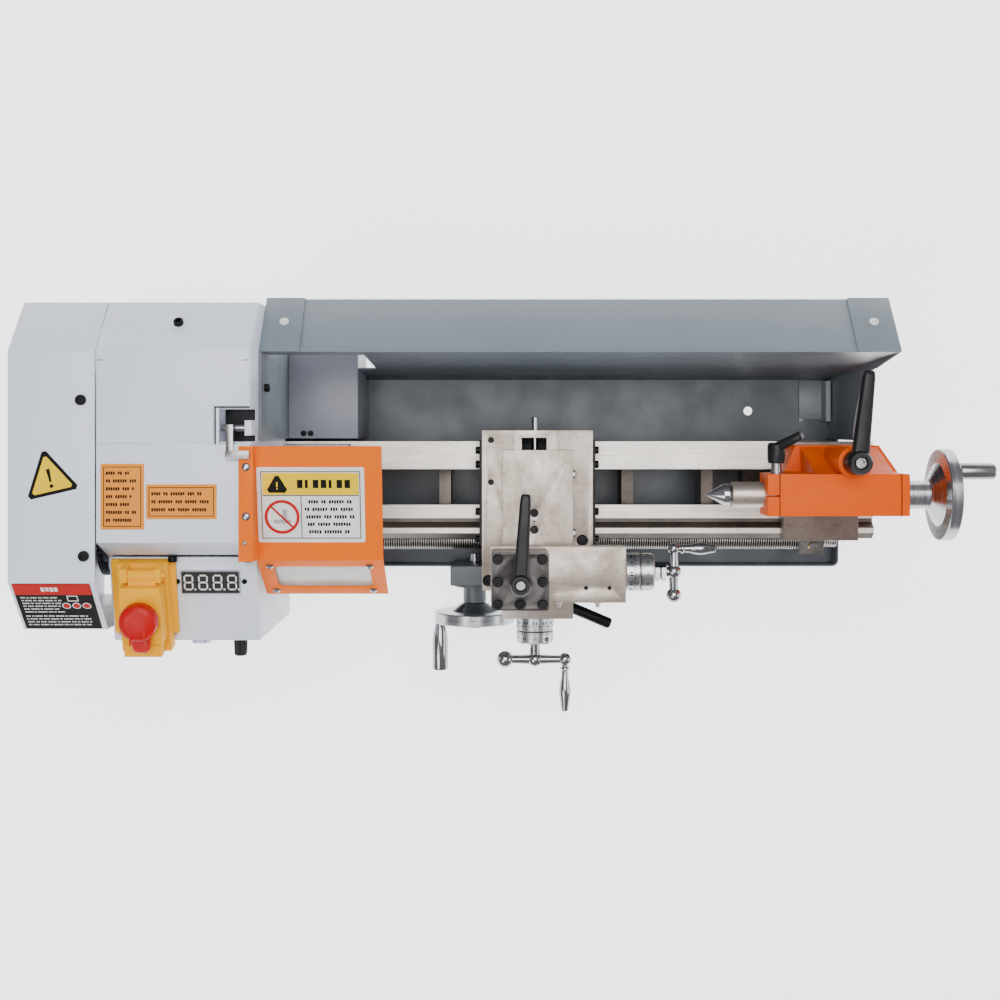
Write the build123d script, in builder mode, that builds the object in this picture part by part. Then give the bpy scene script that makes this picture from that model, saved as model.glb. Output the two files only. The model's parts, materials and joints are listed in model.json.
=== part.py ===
from build123d import *
import math
import os

# Bench-top metal lathe. Millimetres. X runs along the bed towards the tailstock, Y to the rear, Z up.
# The origin is on the bench, under the spindle axis and in the middle of the bed.

# ---- driving dimensions -------------------------------------------------------------------------
foot_h = 20                 # rubber feet
sheet = 1.5                 # sheet metal gauge
tray_top = foot_h + 2       # upper face of the tray floor
tray_rim = 45
tray_x = (-345, 317)
tray_y = (-73, 101.5)

way_z = 120                 # top of the flat ways
centre_height = 90
axis_z = way_z + centre_height
bed_x = (-283, 328)
rear_way = (17.2, 40.7)
front_flat = (-24.5, -13.1)
vee = (-41.8, -27.7)
vee_rise = 3.5
bolt_x = 258                # bench bolts, either side of the origin
bolt_y = 31
foot_reach = 40.7           # bed feet, either side of the middle
bolt_r = 3.5

screw_y = -46.7             # leadscrew axis
screw_z = 75
screw_r = 8

cover_x = (-346.3, -283)    # gear cover
box_x = (-282, -170)        # headstock enclosure
cover_top = 290
cover_rear = 146.8
spindle_bore_r = 10
belt_x = (-300, -290)
motor_axis = (72, 72)       # y, z of the motor shaft

guard_x = (-169.7, 312)       # splash guard
guard_foot_y = 96
ridge = (109.5, 254.7)      # y, z of the bend along the top of the splash guard
flange_edge = (152.6, 219)
cover_front_y = 43.2        # motor cover, passing back through a notch in the splash guard
cover_rear_y = 117
cover_end = -109

saddle_x = (-3.5, 88.8)
saddle_y = (-83, 50.1)
cross_top = 160
cross_screw_z = 142
cross_screw_x = 40.6
top_screw_y = -63.3
top_screw_z = 182           # axis of the top slide's screw
post_mid = (27, -65.8)
post_size = 44.5
post_z = (191, 232)
rack_wheel_x = -10.7        # carriage handwheel
rack_wheel_z = 78

tail_x = (217.4, 320.3)     # tailstock barrel
quill_r = 10
clamp_at = (282.6, 26)      # x, y of the tailstock clamp stud
lock_x = 225                # quill lock stud
lock_z = 225.5

gear_module = 1.0
gear_planes = [(-312, -303), (-324, -315), (-336, -327)]
lift_pin = (52.4, 280)      # y, z of the chuck guard's hinge pin
run_gap = 0.3               # free gap between pieces that slide or turn past one another
os.makedirs("parts", exist_ok=True)


# ---- shapes shared by many pieces ---------------------------------------------------------------
def block(x, y, z, mode=Mode.ADD):
    """Box between the low and high values given for each axis."""
    low, high = zip(x, y, z)
    middle = [(a + b) / 2 for a, b in zip(low, high)]
    with Locations(tuple(middle)):
        Box(x[1] - x[0], y[1] - y[0], z[1] - z[0], mode=mode)


def rod_x(x, y, z, radius, mode=Mode.ADD):
    """Round bar along X between two x values."""
    with Locations(((x[0] + x[1]) / 2, y, z)):
        Cylinder(radius, x[1] - x[0], rotation=(0, 90, 0), mode=mode)


def rod_y(x, y, z, radius, mode=Mode.ADD):
    """Round bar along Y between two y values."""
    with Locations((x, (y[0] + y[1]) / 2, z)):
        Cylinder(radius, y[1] - y[0], rotation=(90, 0, 0), mode=mode)


def rod_z(x, y, z, radius, mode=Mode.ADD):
    """Round bar along Z between two z values."""
    with Locations((x, y, (z[0] + z[1]) / 2)):
        Cylinder(radius, z[1] - z[0], mode=mode)


def prism_x(outline, x, mode=Mode.ADD):
    """Closed (y, z) outline carried along X between two x values."""
    with BuildSketch(Plane.YZ.offset(x[0])) as section:
        with BuildLine():
            Polyline(*outline, close=True)
        make_face()
    extrude(section.sketch, amount=x[1] - x[0], mode=mode)


def prism_y(outline, y, mode=Mode.ADD):
    """Closed (x, z) outline carried along Y between two y values."""
    with BuildSketch(Plane.XZ.offset(-y[1])) as section:
        with BuildLine():
            Polyline(*outline, close=True)
        make_face()
    extrude(section.sketch, amount=y[1] - y[0], mode=mode)


def prism_z(outline, z, mode=Mode.ADD):
    """Closed (x, y) outline carried along Z between two z values."""
    with BuildSketch(Plane.XY.offset(z[0])) as section:
        with BuildLine():
            Polyline(*outline, close=True)
        make_face()
    extrude(section.sketch, amount=z[1] - z[0], mode=mode)


def turned(start, direction, profile, mode=Mode.ADD):
    """Turned piece: (along, radius) steps revolved about an axis from start in a direction."""
    axis_plane = Plane(origin=start, x_dir=direction, z_dir=Vector(direction).cross(Vector(0.3, 0.5, 0.8)))
    with BuildSketch(axis_plane) as section:
        with BuildLine():
            Polyline((profile[0][0], 0), *profile, (profile[-1][0], 0), close=True)
        make_face()
    revolve(section.sketch, axis=Axis(start, direction), mode=mode)


def shell_x(outline, x, open_ends=()):
    """Sheet-metal box of a (y, z) outline, closed at each end that isn't named as open."""
    prism_x(outline, x)
    low = x[0] - 1 if "low" in open_ends else x[0] + sheet
    high = x[1] + 1 if "high" in open_ends else x[1] - sheet
    with BuildSketch(Plane.YZ.offset(low)) as section:
        with BuildLine():
            Polyline(*outline, close=True)
        make_face()
        offset(amount=-sheet, kind=Kind.INTERSECTION, mode=Mode.REPLACE)
    extrude(section.sketch, amount=high - low, mode=Mode.SUBTRACT)


def spur_gear(x, y, z, teeth, turn=0.0, bore=0.0):
    """Spur gear on an X axis at (y, z), with one tooth pointing at the given angle from +Y."""
    pitch_r = gear_module * teeth / 2
    step = 2 * math.pi / teeth
    root_r = pitch_r - 1.25 * gear_module
    tip_r = pitch_r + 0.9 * gear_module
    quarter = [(root_r, 0.31), (pitch_r, 0.235), (tip_r, 0.12)]
    outline = []
    for tooth in range(teeth):
        middle = turn + tooth * step
        flank = [(radius, middle - share * step) for radius, share in quarter]
        flank += [(radius, middle + share * step) for radius, share in reversed(quarter)]
        outline += [(y + r * math.cos(a), z + r * math.sin(a)) for r, a in flank]
    prism_x(outline, x)
    if bore:
        rod_x((x[0] - 1, x[1] + 1), y, z, bore, mode=Mode.SUBTRACT)


# ---- stand and bed ------------------------------------------------------------------------------
bench_bolts = [(x, y) for x in (-bolt_x, bolt_x) for y in (-bolt_y, bolt_y)]

with BuildPart() as rubber_feet:
    for bolt in bench_bolts:
        rod_z(*bolt, (0, foot_h), 18)
        rod_z(*bolt, (-1, foot_h + 1), bolt_r, mode=Mode.SUBTRACT)

with BuildPart() as chip_tray:
    block(tray_x, tray_y, (foot_h, tray_rim))
    fillet(chip_tray.edges().filter_by(Axis.Z), radius=6)
    inner_x = (tray_x[0] + sheet, tray_x[1] - sheet)
    inner_y = (tray_y[0] + sheet, tray_y[1] - sheet)
    with BuildSketch(Plane.XY.offset(tray_top)):
        with Locations(((inner_x[0] + inner_x[1]) / 2, (inner_y[0] + inner_y[1]) / 2)):
            RectangleRounded(inner_x[1] - inner_x[0], inner_y[1] - inner_y[0], 6 - sheet)
    extrude(amount=tray_rim, mode=Mode.SUBTRACT)
    for bolt in bench_bolts:
        rod_z(*bolt, (foot_h - 1, tray_top + 1), bolt_r, mode=Mode.SUBTRACT)
    rod_z(239.5, 67.5, (foot_h - 1, tray_top + 1), 4, mode=Mode.SUBTRACT)

rib_at = (-256, -183, -110, -36, 43, 121.8, 190.6, 255)
with BuildPart() as bed:
    vee_mid = (vee[0] + vee[1]) / 2
    front_rail = [(front_flat[1], way_z), (front_flat[0], way_z), (front_flat[0], way_z - 2.5)]
    vee_top = way_z + vee_rise
    front_rail += [(vee[1], way_z - 2.5), (vee_mid + 2.2, vee_top), (vee_mid - 2.2, vee_top)]
    front_rail += [(vee[0], way_z - 2.5), (vee[0], way_z - 14), (-37, way_z - 14), (-37, 57), (-41, 57)]
    front_rail += [(-41, 47), (-22, 47), (-22, 57), (-27, 57), (-27, way_z - 14)]
    front_rail += [(front_flat[1], way_z - 14)]
    prism_x(front_rail, bed_x)
    rear_rail = [(rear_way[0], way_z), (rear_way[1], way_z), (rear_way[1], way_z - 14), (34, way_z - 14)]
    rear_rail += [(34, 57), (39, 57), (39, 47), (20, 47), (20, 57), (25, 57), (25, way_z - 14)]
    rear_rail += [(rear_way[0], way_z - 14)]
    prism_x(rear_rail, bed_x)
    for x in rib_at:
        block((x - 5, x + 5), (-28, 26), (55, 96))
    for foot_x, wall_x in (((bed_x[0], -230), (bed_x[0], -273)), ((230, 300), (316, 326))):
        block(foot_x, (-foot_reach, foot_reach), (tray_top, 48))
        block(wall_x, (-38, 34), (47, 104))
    for bolt in bench_bolts:
        rod_z(*bolt, (tray_top - 1, 46), bolt_r, mode=Mode.SUBTRACT)

with BuildPart() as bed_rack:
    rack_x = (-160, 312)
    tooth_pitch = math.pi
    teeth = int((rack_x[1] - rack_x[0]) / tooth_pitch)
    outline = [(rack_x[1], 106), (rack_x[0], 106)]
    for tooth in range(teeth):
        x = rack_x[0] + tooth * tooth_pitch
        outline += [(x, 98), (x + 0.95, 98), (x + 1.45, 100.2), (x + 2.6, 100.2)]
    outline += [(rack_x[1], 98)]
    prism_y(outline, (-41.5, -37))

with BuildPart() as leadscrew_brackets:
    for bracket_x in ((-196, -180), (273, 294)):
        block(bracket_x, (-58, -41), (screw_z - 12, screw_z + 12))
        block(bracket_x, (-42, -37), (screw_z - 12, 97))
        rod_x(bracket_x, screw_y, screw_z, screw_r + 0.05, mode=Mode.SUBTRACT)
    rod_z(284, -51, (screw_z + 12, screw_z + 16), 3.2)

# ---- splash guard -------------------------------------------------------------------------------
def bent_sheet_x(path, x, side=Side.RIGHT):
    """Sheet folded along a (y, z) path and carried along X."""
    with BuildSketch(Plane.YZ.offset(x[0])) as section:
        with BuildLine():
            Polyline(*path)
            offset(amount=sheet, side=side)
        make_face()
    extrude(section.sketch, amount=x[1] - x[0])


def end_tab(x):
    """End plate's tab, folded over the sloping flange of the splash guard."""
    slope = (flange_edge[0] - ridge[0], flange_edge[1] - ridge[1])
    length = math.hypot(*slope)
    normal = (-slope[1] / length * sheet, slope[0] / length * sheet)
    inner = (ridge, flange_edge)
    outer = [(y + normal[0], z + normal[1]) for y, z in inner]
    prism_x([*inner, outer[1], outer[0]], x)


with BuildPart() as splash_back:
    bent_sheet_x([(guard_foot_y, tray_top + 0.1), ridge, flange_edge], (guard_x[0] + sheet, guard_x[1]))
    notch_x = (guard_x[0] + sheet - 1, cover_end + run_gap)
    notch_top = ridge[1] - 8
    block(notch_x, (guard_foot_y - 6, ridge[0] - 0.5), (tray_top - 1, notch_top), mode=Mode.SUBTRACT)
    wide_x = (notch_x[0], cover_end + 16)
    block(wide_x, (guard_foot_y - 6, ridge[0] - 0.5), (122, notch_top), mode=Mode.SUBTRACT)

motor_hole_r = 24.5
flange_fall = (ridge[1] - flange_edge[1]) / (flange_edge[0] - ridge[0])
under_flange = (cover_rear_y, ridge[1] - (cover_rear_y - ridge[0]) * flange_fall)

with BuildPart() as splash_ends:
    left_plate = (guard_x[0], guard_x[0] + sheet)
    rear_edge = [(guard_foot_y, tray_top), (guard_foot_y, tray_rim + 1), (cover_rear_y, tray_rim + 1)]
    rear_edge += [under_flange]
    prism_x([(43, ridge[1]), (43, tray_top), *rear_edge, ridge], left_plate)
    rod_x((guard_x[0] - 1, guard_x[0] + 3), *motor_axis, motor_hole_r, mode=Mode.SUBTRACT)
    end_tab((guard_x[0], guard_x[0] + 30))
    with BuildSketch(Plane.YZ.offset(guard_x[1])):
        with BuildLine():
            Polyline((41.5, 115), (41.5, tray_top), (guard_foot_y, tray_top), under_flange, ridge, (100, 190))
            ThreePointArc((100, 190), (80, 138), (41.5, 115))
        make_face()
    extrude(amount=sheet)
    end_tab((guard_x[1] - 31, guard_x[1] + sheet))
    block((guard_x[1] - 26, guard_x[1]), (60, guard_foot_y - 0.5), (tray_top, tray_top + sheet))

with BuildPart() as motor_cover:
    cover_span = (guard_x[0] + sheet + 0.2, cover_end)
    over_tray = [(guard_foot_y - 0.6, tray_top), (guard_foot_y - 0.6, tray_rim + 1)]
    over_tray += [(cover_rear_y, tray_rim + 1), (cover_rear_y, 121), (cover_front_y, 121)]
    shell_x([(cover_front_y, tray_top), *over_tray], cover_span, open_ends=("low",))

# ---- headstock end ------------------------------------------------------------------------------
with BuildPart() as motor:
    rod_x((-278, -176), *motor_axis, 28)
    rod_x((-176, -124), *motor_axis, 21)
    block((-262, -192), (60, 84), (tray_top, 50))

with BuildPart() as motor_pulley:
    rod_x((-302, -278.5), *motor_axis, 4)
    groove = [(0, 11.5), (1, 11.5), (1, 10), (9.5, 10), (9.5, 11.5), (10.5, 11.5)]
    turned((-300.5, *motor_axis), (1, 0, 0), groove)

with BuildPart() as drive_belt:
    belt_inner = (10.1, 25.1)
    with BuildSketch(Plane.YZ.offset(belt_x[0] + 1.0)) as outer:
        for (y, z), radius in ((motor_axis, belt_inner[0] + 2), ((0, axis_z), belt_inner[1] + 2)):
            with Locations((y, z)):
                Circle(radius)
        make_hull()
    extrude(outer.sketch, amount=7.5)
    with BuildSketch(Plane.YZ.offset(belt_x[0])) as inner:
        for (y, z), radius in ((motor_axis, belt_inner[0]), ((0, axis_z), belt_inner[1])):
            with Locations((y, z)):
                Circle(radius)
        make_hull()
    extrude(inner.sketch, amount=10, mode=Mode.SUBTRACT)

with BuildPart() as headstock:
    casting = [(-38, way_z + 5), (-36, 226), (-24, 246), (24, 246), (36, 226), (41, way_z + 5), (41, way_z)]
    casting += [(front_flat[1] - 0.2, way_z), (front_flat[0], way_z), (front_flat[0] - 0.3, way_z + 5)]
    prism_x(casting, (-272, -180))
    block((-262, -190), (-12, 16), (106, way_z))
    rod_x((-275, -177), 0, axis_z, 34)
    rod_x((-276, -176), 0, axis_z, 17, mode=Mode.SUBTRACT)
    rod_x((-276, -261), 0, axis_z, 26, mode=Mode.SUBTRACT)
    rod_x((-191, -176), 0, axis_z, 26, mode=Mode.SUBTRACT)

with BuildPart() as spindle_bearings:
    for race in ((-275, -261), (-191, -177)):
        rod_x(race, 0, axis_z, 26)
        rod_x((race[0] - 1, race[1] + 1), 0, axis_z, 15.05, mode=Mode.SUBTRACT)

spindle_end = (-343, -158)
with BuildPart() as spindle:
    rod_x((spindle_end[0], -303), 0, axis_z, 12.5)
    rod_x((-303, -168), 0, axis_z, 15)
    rod_x((-168, spindle_end[1]), 0, axis_z, 27.5)
    rod_x((spindle_end[0] - 1, spindle_end[1] + 1), 0, axis_z, spindle_bore_r, mode=Mode.SUBTRACT)

with BuildPart() as spindle_pulley:
    steps = [(0, 27), (1, 27), (1, 25), (9.5, 25), (9.5, 27), (10.5, 27)]
    turned((-300.5, 0, axis_z), (1, 0, 0), steps)
    rod_x((-302, -288), 0, axis_z, 15, mode=Mode.SUBTRACT)

front_facet = (-44, 258)
cover_outline = [(cover_rear, 47), (cover_rear, 255), (108.7, cover_top), (-31, cover_top), front_facet]
cover_outline += [(-44, 47)]
pocket_x = (-195.6, -170)
pocket_y = (40.8, 67.7)
pocket_floor = 266

with BuildPart() as headstock_cover:
    shell_x(cover_outline, (box_x[0], box_x[1]))
    block((box_x[0] + sheet, box_x[1] - sheet), (-43, cover_rear - sheet), (46, 49), mode=Mode.SUBTRACT)
    block((box_x[0] - 1, box_x[1] + 1), (-60, 60), (46, way_z + 5), mode=Mode.SUBTRACT)
    block((box_x[0] + 3, box_x[1] - 3), (-60, -40), (46, 262), mode=Mode.SUBTRACT)
    rod_x((box_x[0] - 1, box_x[0] + 3), 0, axis_z, 18, mode=Mode.SUBTRACT)
    rod_x((box_x[1] - 3, box_x[1] + 1), 0, axis_z, 31, mode=Mode.SUBTRACT)
    rod_x((box_x[1] - 3, box_x[1] + 1), *motor_axis, motor_hole_r, mode=Mode.SUBTRACT)
    rod_x((box_x[0] - 1, box_x[0] + 3), *motor_axis, 8, mode=Mode.SUBTRACT)
    block(pocket_x, pocket_y, (pocket_floor, cover_top + 1), mode=Mode.SUBTRACT)
    pocket_inner = (pocket_y[0] + sheet, pocket_y[1] - sheet)
    block(pocket_x, pocket_y, (pocket_floor, pocket_floor + sheet))
    block((pocket_x[0], pocket_x[0] + 3), pocket_y, (pocket_floor, cover_top))
    for wall in ((pocket_y[0], pocket_inner[0]), (pocket_inner[1], pocket_y[1])):
        block(pocket_x, wall, (pocket_floor, cover_top - 4))
    block((-175, pocket_x[1]), (47, 58), (pocket_floor, 285))
    rod_x((pocket_x[0] + 1, pocket_x[1] + 1), *lift_pin, 2.55, mode=Mode.SUBTRACT)

with BuildPart() as headstock_lid:
    bent_sheet_x([(41.5, cover_top), (108.7, cover_top), (120, 279.75)], (-281, -196.5), side=Side.LEFT)
    bent_sheet_x([(68.5, cover_top), (108.7, cover_top), (120, 279.75)], (-196.5, -171), side=Side.LEFT)

cover_front = -99
gear_outline = [(cover_rear, 47), (cover_rear, 255), (108.7, cover_top), (-59.8, cover_top)]
gear_outline += [(cover_front, 255), (cover_front, 47)]

with BuildPart() as gear_cover:
    shell_x(gear_outline, cover_x, open_ends=("high",))
    inside_y = (cover_front + sheet, cover_rear - sheet)
    block((cover_x[0] + sheet, cover_x[1] + 1), inside_y, (46, 49), mode=Mode.SUBTRACT)
    rod_x((cover_x[0] - 1, cover_x[0] + 3), 0, axis_z, 14, mode=Mode.SUBTRACT)

control_x = (-281.5, -171)
panel_top = (-44.3, 258)    # y, z of the sloping panel's upper and lower edges
panel_low = (-109, 243)
panel_slope = math.atan2(panel_top[1] - panel_low[1], panel_top[0] - panel_low[0])
panel_mid = (0, (panel_top[0] + panel_low[0]) / 2, (panel_top[1] + panel_low[1]) / 2)
panel = Plane(panel_mid, x_dir=(1, 0, 0), z_dir=(0, -math.sin(panel_slope), math.cos(panel_slope)))
knob_z = 150
speed_knob_x = -202.9
direction_knob_x = -271.4
front_wall = panel_low[0]

with BuildPart() as control_box:
    shell_x([panel_top, panel_low, (front_wall, 92), (panel_top[0], 92)], control_x)
    for x in (speed_knob_x, direction_knob_x):
        rod_y(x, (front_wall - 1, front_wall + 3), knob_z, 3.05, mode=Mode.SUBTRACT)
    rod_y(-235.2, (front_wall - 16, front_wall), knob_z, 8)
    with BuildSketch(panel):
        with Locations((-205.9, 14)):
            RectangleRounded(45, 18.6, 1.5)
    extrude(amount=1.8)

# The stop switch is drawn in the plane of the sloping panel: x along the lathe, y up the slope, z out of it.
stop_x = (-272.5, -235.5)
lid_x = (-267, -237.5)
lid_hinge = (26, 21)
button_at = (-252, -4)

with BuildPart(panel) as estop_base:
    block(stop_x, (-37, 32), (0, 12))
    block((stop_x[0] - 7, stop_x[1] + 4), (-26, 32), (0, 3))
    block((stop_x[0] + 4, stop_x[1] - 4), (-20, 20), (4, 13), mode=Mode.SUBTRACT)
    for ear in ((-267.5, -262.3), (-241.7, -237.5)):
        block(ear, (lid_hinge[0] - 4.5, 32), (12, lid_hinge[1] + 4.5))
    rod_x((-270, -235), *lid_hinge, 1.5)
    block((-268, -240), (-37, -26), (12, 24))

with BuildPart(panel) as estop_lid:
    block(lid_x, (-24.5, 19), (13, 30))
    block((lid_x[0] + 2, lid_x[1] - 2), (-22.5, 17), (12, 28), mode=Mode.SUBTRACT)
    rod_z(*button_at, (27, 31), 8.05, mode=Mode.SUBTRACT)
    rod_x((-262, -242), *lid_hinge, 4.2)
    block((-262, -242), (18, lid_hinge[0] - 1), (lid_hinge[1] - 2, lid_hinge[1] + 3))
    rod_x((-263, -241), *lid_hinge, 1.55, mode=Mode.SUBTRACT)

with BuildPart(panel) as estop_button:
    rod_z(*button_at, (18, 33), 8)
    rod_z(*button_at, (33, 45), 14)
    fillet(estop_button.edges().filter_by(GeomType.CIRCLE).sort_by(SortBy.RADIUS)[-1], radius=3)
    block((button_at[0] - 8.5, button_at[0] + 8.5), (-29, button_at[1]), (33, 36))

with BuildPart() as speed_knob:
    steps = [(0, 3), (9.3, 3), (9.3, 8.5), (11.5, 8.5), (11.5, 6.2), (36, 5.2)]
    turned((speed_knob_x, front_wall + 9, knob_z), (0, -1, 0), steps)

with BuildPart() as direction_knob:
    steps = [(0, 3), (9.3, 3), (9.3, 10.6), (31.5, 10.0)]
    turned((direction_knob_x, front_wall + 9, knob_z), (0, -1, 0), steps)

# ---- chuck --------------------------------------------------------------------------------------
chuck_r = 40
chuck_x = (-158, -105)
jaw_width = 11.8
jaw_angles = (90, 210, 330)


def jaw_plane(angle):
    """Plane across the spindle whose x axis points outwards along one jaw."""
    outwards = (0, math.cos(math.radians(angle)), math.sin(math.radians(angle)))
    return Plane((0, 0, axis_z), x_dir=outwards, z_dir=(1, 0, 0))


with BuildPart() as chuck_body:
    rod_x(chuck_x, 0, axis_z, chuck_r)
    chamfer(chuck_body.edges().filter_by(GeomType.CIRCLE), length=1)
    rod_x((chuck_x[0] - 1, chuck_x[1] + 1), 0, axis_z, spindle_bore_r + 1, mode=Mode.SUBTRACT)
    for angle in jaw_angles:
        with BuildSketch(jaw_plane(angle).offset(chuck_x[1] - 11)):
            with Locations((30, 0)):
                Rectangle(60, jaw_width + 0.2)
        extrude(amount=12, mode=Mode.SUBTRACT)
        with BuildSketch(jaw_plane(angle + 60).offset(chuck_x[0] + 20)):
            with Locations((chuck_r, 0)):
                Rectangle(20, 7)
        extrude(amount=7, mode=Mode.SUBTRACT)

jaws = []
for angle in jaw_angles:
    with BuildPart(jaw_plane(angle)) as jaw:
        block((14, 40), (-jaw_width / 2, jaw_width / 2), (chuck_x[1] - 10.9, chuck_x[1]))
        block((14, 33), (-jaw_width / 2, jaw_width / 2), (chuck_x[1], chuck_x[1] + 8))
        block((14, 25), (-jaw_width / 2, jaw_width / 2), (chuck_x[1] + 8, chuck_x[1] + 20))
    jaws.append(jaw)

# ---- change gears, from the spindle down to the leadscrew ---------------------------------------
def mesh_turn(here, teeth_here, turn_here, there, teeth_there):
    """Turn of the gear at there, so that its teeth stand in the gaps of the gear at here."""
    heading = math.atan2(there[1] - here[1], there[0] - here[0])
    phase = (heading - turn_here) * teeth_here / (2 * math.pi)
    return heading + math.pi - (2 * math.pi / teeth_there) * (0.5 - phase)


def third_point(first, second, reach_first, reach_second, side):
    """Axis at the given distances from two others, on the named side of the line between them."""
    span = math.dist(first, second)
    along = (reach_first ** 2 - reach_second ** 2 + span ** 2) / (2 * span)
    across = side * math.sqrt(reach_first ** 2 - along ** 2)
    unit = ((second[0] - first[0]) / span, (second[1] - first[1]) / span)
    return (first[0] + unit[0] * along - unit[1] * across, first[1] + unit[1] * along + unit[0] * across)


stud_r = 5
spindle_at = (0, axis_z)
stud_at = (0, 137)
screw_at = (screw_y, screw_z)
tumbler_at = third_point(spindle_at, stud_at, 37.5, 37.5, 1)
compound_at = third_point(stud_at, screw_at, 40, 40, -1)
tumbler_turn = mesh_turn(spindle_at, 45, 0, tumbler_at, 30)
stud_turn = mesh_turn(tumbler_at, 30, tumbler_turn, stud_at, 45)
compound_turn = mesh_turn(stud_at, 20, stud_turn, compound_at, 60)
screw_turn = mesh_turn(compound_at, 20, compound_turn, screw_at, 60)

with BuildPart() as spindle_gear:
    spur_gear(gear_planes[0], *spindle_at, 45, bore=12.5)

with BuildPart() as tumbler_gear:
    spur_gear(gear_planes[0], *tumbler_at, 30, tumbler_turn, bore=stud_r + 0.05)

with BuildPart() as stud_gear:
    spur_gear(gear_planes[0], *stud_at, 45, stud_turn)
    spur_gear(gear_planes[1], *stud_at, 20, stud_turn)
    rod_x((gear_planes[1][1], gear_planes[0][0]), *stud_at, 8)
    rod_x((-330, -300), *stud_at, stud_r + 0.05, mode=Mode.SUBTRACT)

with BuildPart() as compound_gear:
    spur_gear(gear_planes[1], *compound_at, 60, compound_turn)
    spur_gear(gear_planes[2], *compound_at, 20, compound_turn)
    rod_x((gear_planes[2][1], gear_planes[1][0]), *compound_at, 8)
    rod_x((-340, -310), *compound_at, stud_r + 0.05, mode=Mode.SUBTRACT)

with BuildPart() as gear_studs:
    plate_x = (-289, -284)
    lobes = ((tumbler_at, 14), (stud_at, 14), (compound_at, 14))
    with BuildSketch(Plane.YZ.offset(plate_x[0])) as plate:
        for at, radius in lobes:
            with Locations(at):
                Circle(radius)
        make_hull()
    extrude(plate.sketch, amount=plate_x[1] - plate_x[0])
    stud_ends = (gear_planes[0][0], gear_planes[1][0], gear_planes[2][0])
    for at, end in zip((tumbler_at, stud_at, compound_at), stud_ends):
        rod_x((end - 2, plate_x[0]), *at, stud_r)
        behind = gear_planes[1][1] if at == compound_at else gear_planes[0][1]
        rod_x((behind + run_gap, plate_x[0]), *at, 8)
    rod_x((plate_x[1], -282), *stud_at, 6)

with BuildPart() as leadscrew:
    rod_x((-340, 307), *screw_at, screw_r)
    spur_gear(gear_planes[2], *screw_at, 60, screw_turn)

# ---- chuck guard --------------------------------------------------------------------------------
shield_x = (-169, -75)
shield_path = [(39.3, 285), (-44.6, 268), (-75, 222)]
lug_z = (291.5, 293)

with BuildPart() as chuck_guard:
    bent_sheet_x(shield_path, shield_x, side=Side.RIGHT)
    facet_out = Plane(origin=(0, *shield_path[2]), x_dir=(1, 0, 0), z_dir=(0, -0.834, 0.551))
    with BuildSketch(facet_out.offset(-4)):
        with Locations((-122, 28)):
            RectangleRounded(72, 34, 5)
    extrude(amount=8, mode=Mode.SUBTRACT)
    side_wall = [(39.3, 285), (39.3, lug_z[1]), (-44.6, lug_z[1]), (-44.6, 268)]
    prism_x(side_wall, (shield_x[0], shield_x[0] + sheet))
    block((-178, shield_x[0]), (-44.6, 39.3), lug_z)

with BuildPart() as guard_window:
    with BuildSketch(facet_out.offset(-sheet - 2.1)):
        with Locations((-122, 28)):
            RectangleRounded(82, 44, 3)
    extrude(amount=2)

with BuildPart() as guard_arm:
    rod_x((pocket_x[0] + 3.5, -172), *lift_pin, 2.5)
    arm_x = (-187, -182)
    arm_rear = lift_pin[0] + 2.5
    arm_top = lug_z[1] + 0.3
    block(arm_x, (lift_pin[0] - 4, arm_rear), (lift_pin[1] - 4, arm_top))
    block(arm_x, (30, arm_rear), (arm_top - 3, arm_top))
    block((arm_x[0], -170), (30, 36), (lug_z[1], lug_z[1] + 3))

# ---- carriage -----------------------------------------------------------------------------------
def way_groove(top):
    """Lower outline of a piece that rides on both ways, from the rear edge to the front one."""
    low = way_z + run_gap
    groove = [(rear_way[1], low), (vee_mid + 5.3, low), (vee_mid + 2.4, way_z + vee_rise + 0.6)]
    groove += [(vee_mid - 2.4, way_z + vee_rise + 0.6), (vee_mid - 5.3, low)]
    return [(rear_way[1], top), *groove, (vee_mid - 7.4, low), (vee_mid - 7.4, top)]


plate_z = (112, 144)
dovetail_top = 152
cross_x = (13.4, 71.5)
channel_x = (22, 60)

with BuildPart() as saddle:
    prism_x(way_groove(plate_z[1]), saddle_x)
    block(saddle_x, (rear_way[1], saddle_y[1]), (way_z + run_gap, plate_z[1]))
    block(saddle_x, (rear_way[1] + 0.5, saddle_y[1]), (106, way_z + run_gap))
    block(saddle_x, (saddle_y[0], vee_mid - 7.4), plate_z)
    dovetail = [(26, plate_z[1]), (56, plate_z[1]), (59, dovetail_top), (23, dovetail_top)]
    prism_y(dovetail, (-57, saddle_y[1]))
    block(channel_x, (saddle_y[0] - 1, -57), (plate_z[0] - 1, dovetail_top + 1), mode=Mode.SUBTRACT)
    block((33, 48), (-60, 40), (136, dovetail_top + 1), mode=Mode.SUBTRACT)
    block((29.5, 50), (33, 44), (136, dovetail_top + 1), mode=Mode.SUBTRACT)
    rod_y(cross_screw_x, (36, 60), cross_screw_z, 4.4, mode=Mode.SUBTRACT)
    block((34, 47), (-14, 2), (130, 151))
    rod_y(cross_screw_x, (-15, 3), cross_screw_z, 4.06, mode=Mode.SUBTRACT)
    for x, y in ((4, 42), (4, 7)):
        rod_z(x, y, (130, plate_z[1] + 1), 2.5, mode=Mode.SUBTRACT)
    for x, y in ((80, -41.5), (2, -75)):
        rod_z(x, y, (plate_z[1] - 6, plate_z[1] + 1), 5, mode=Mode.SUBTRACT)

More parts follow.
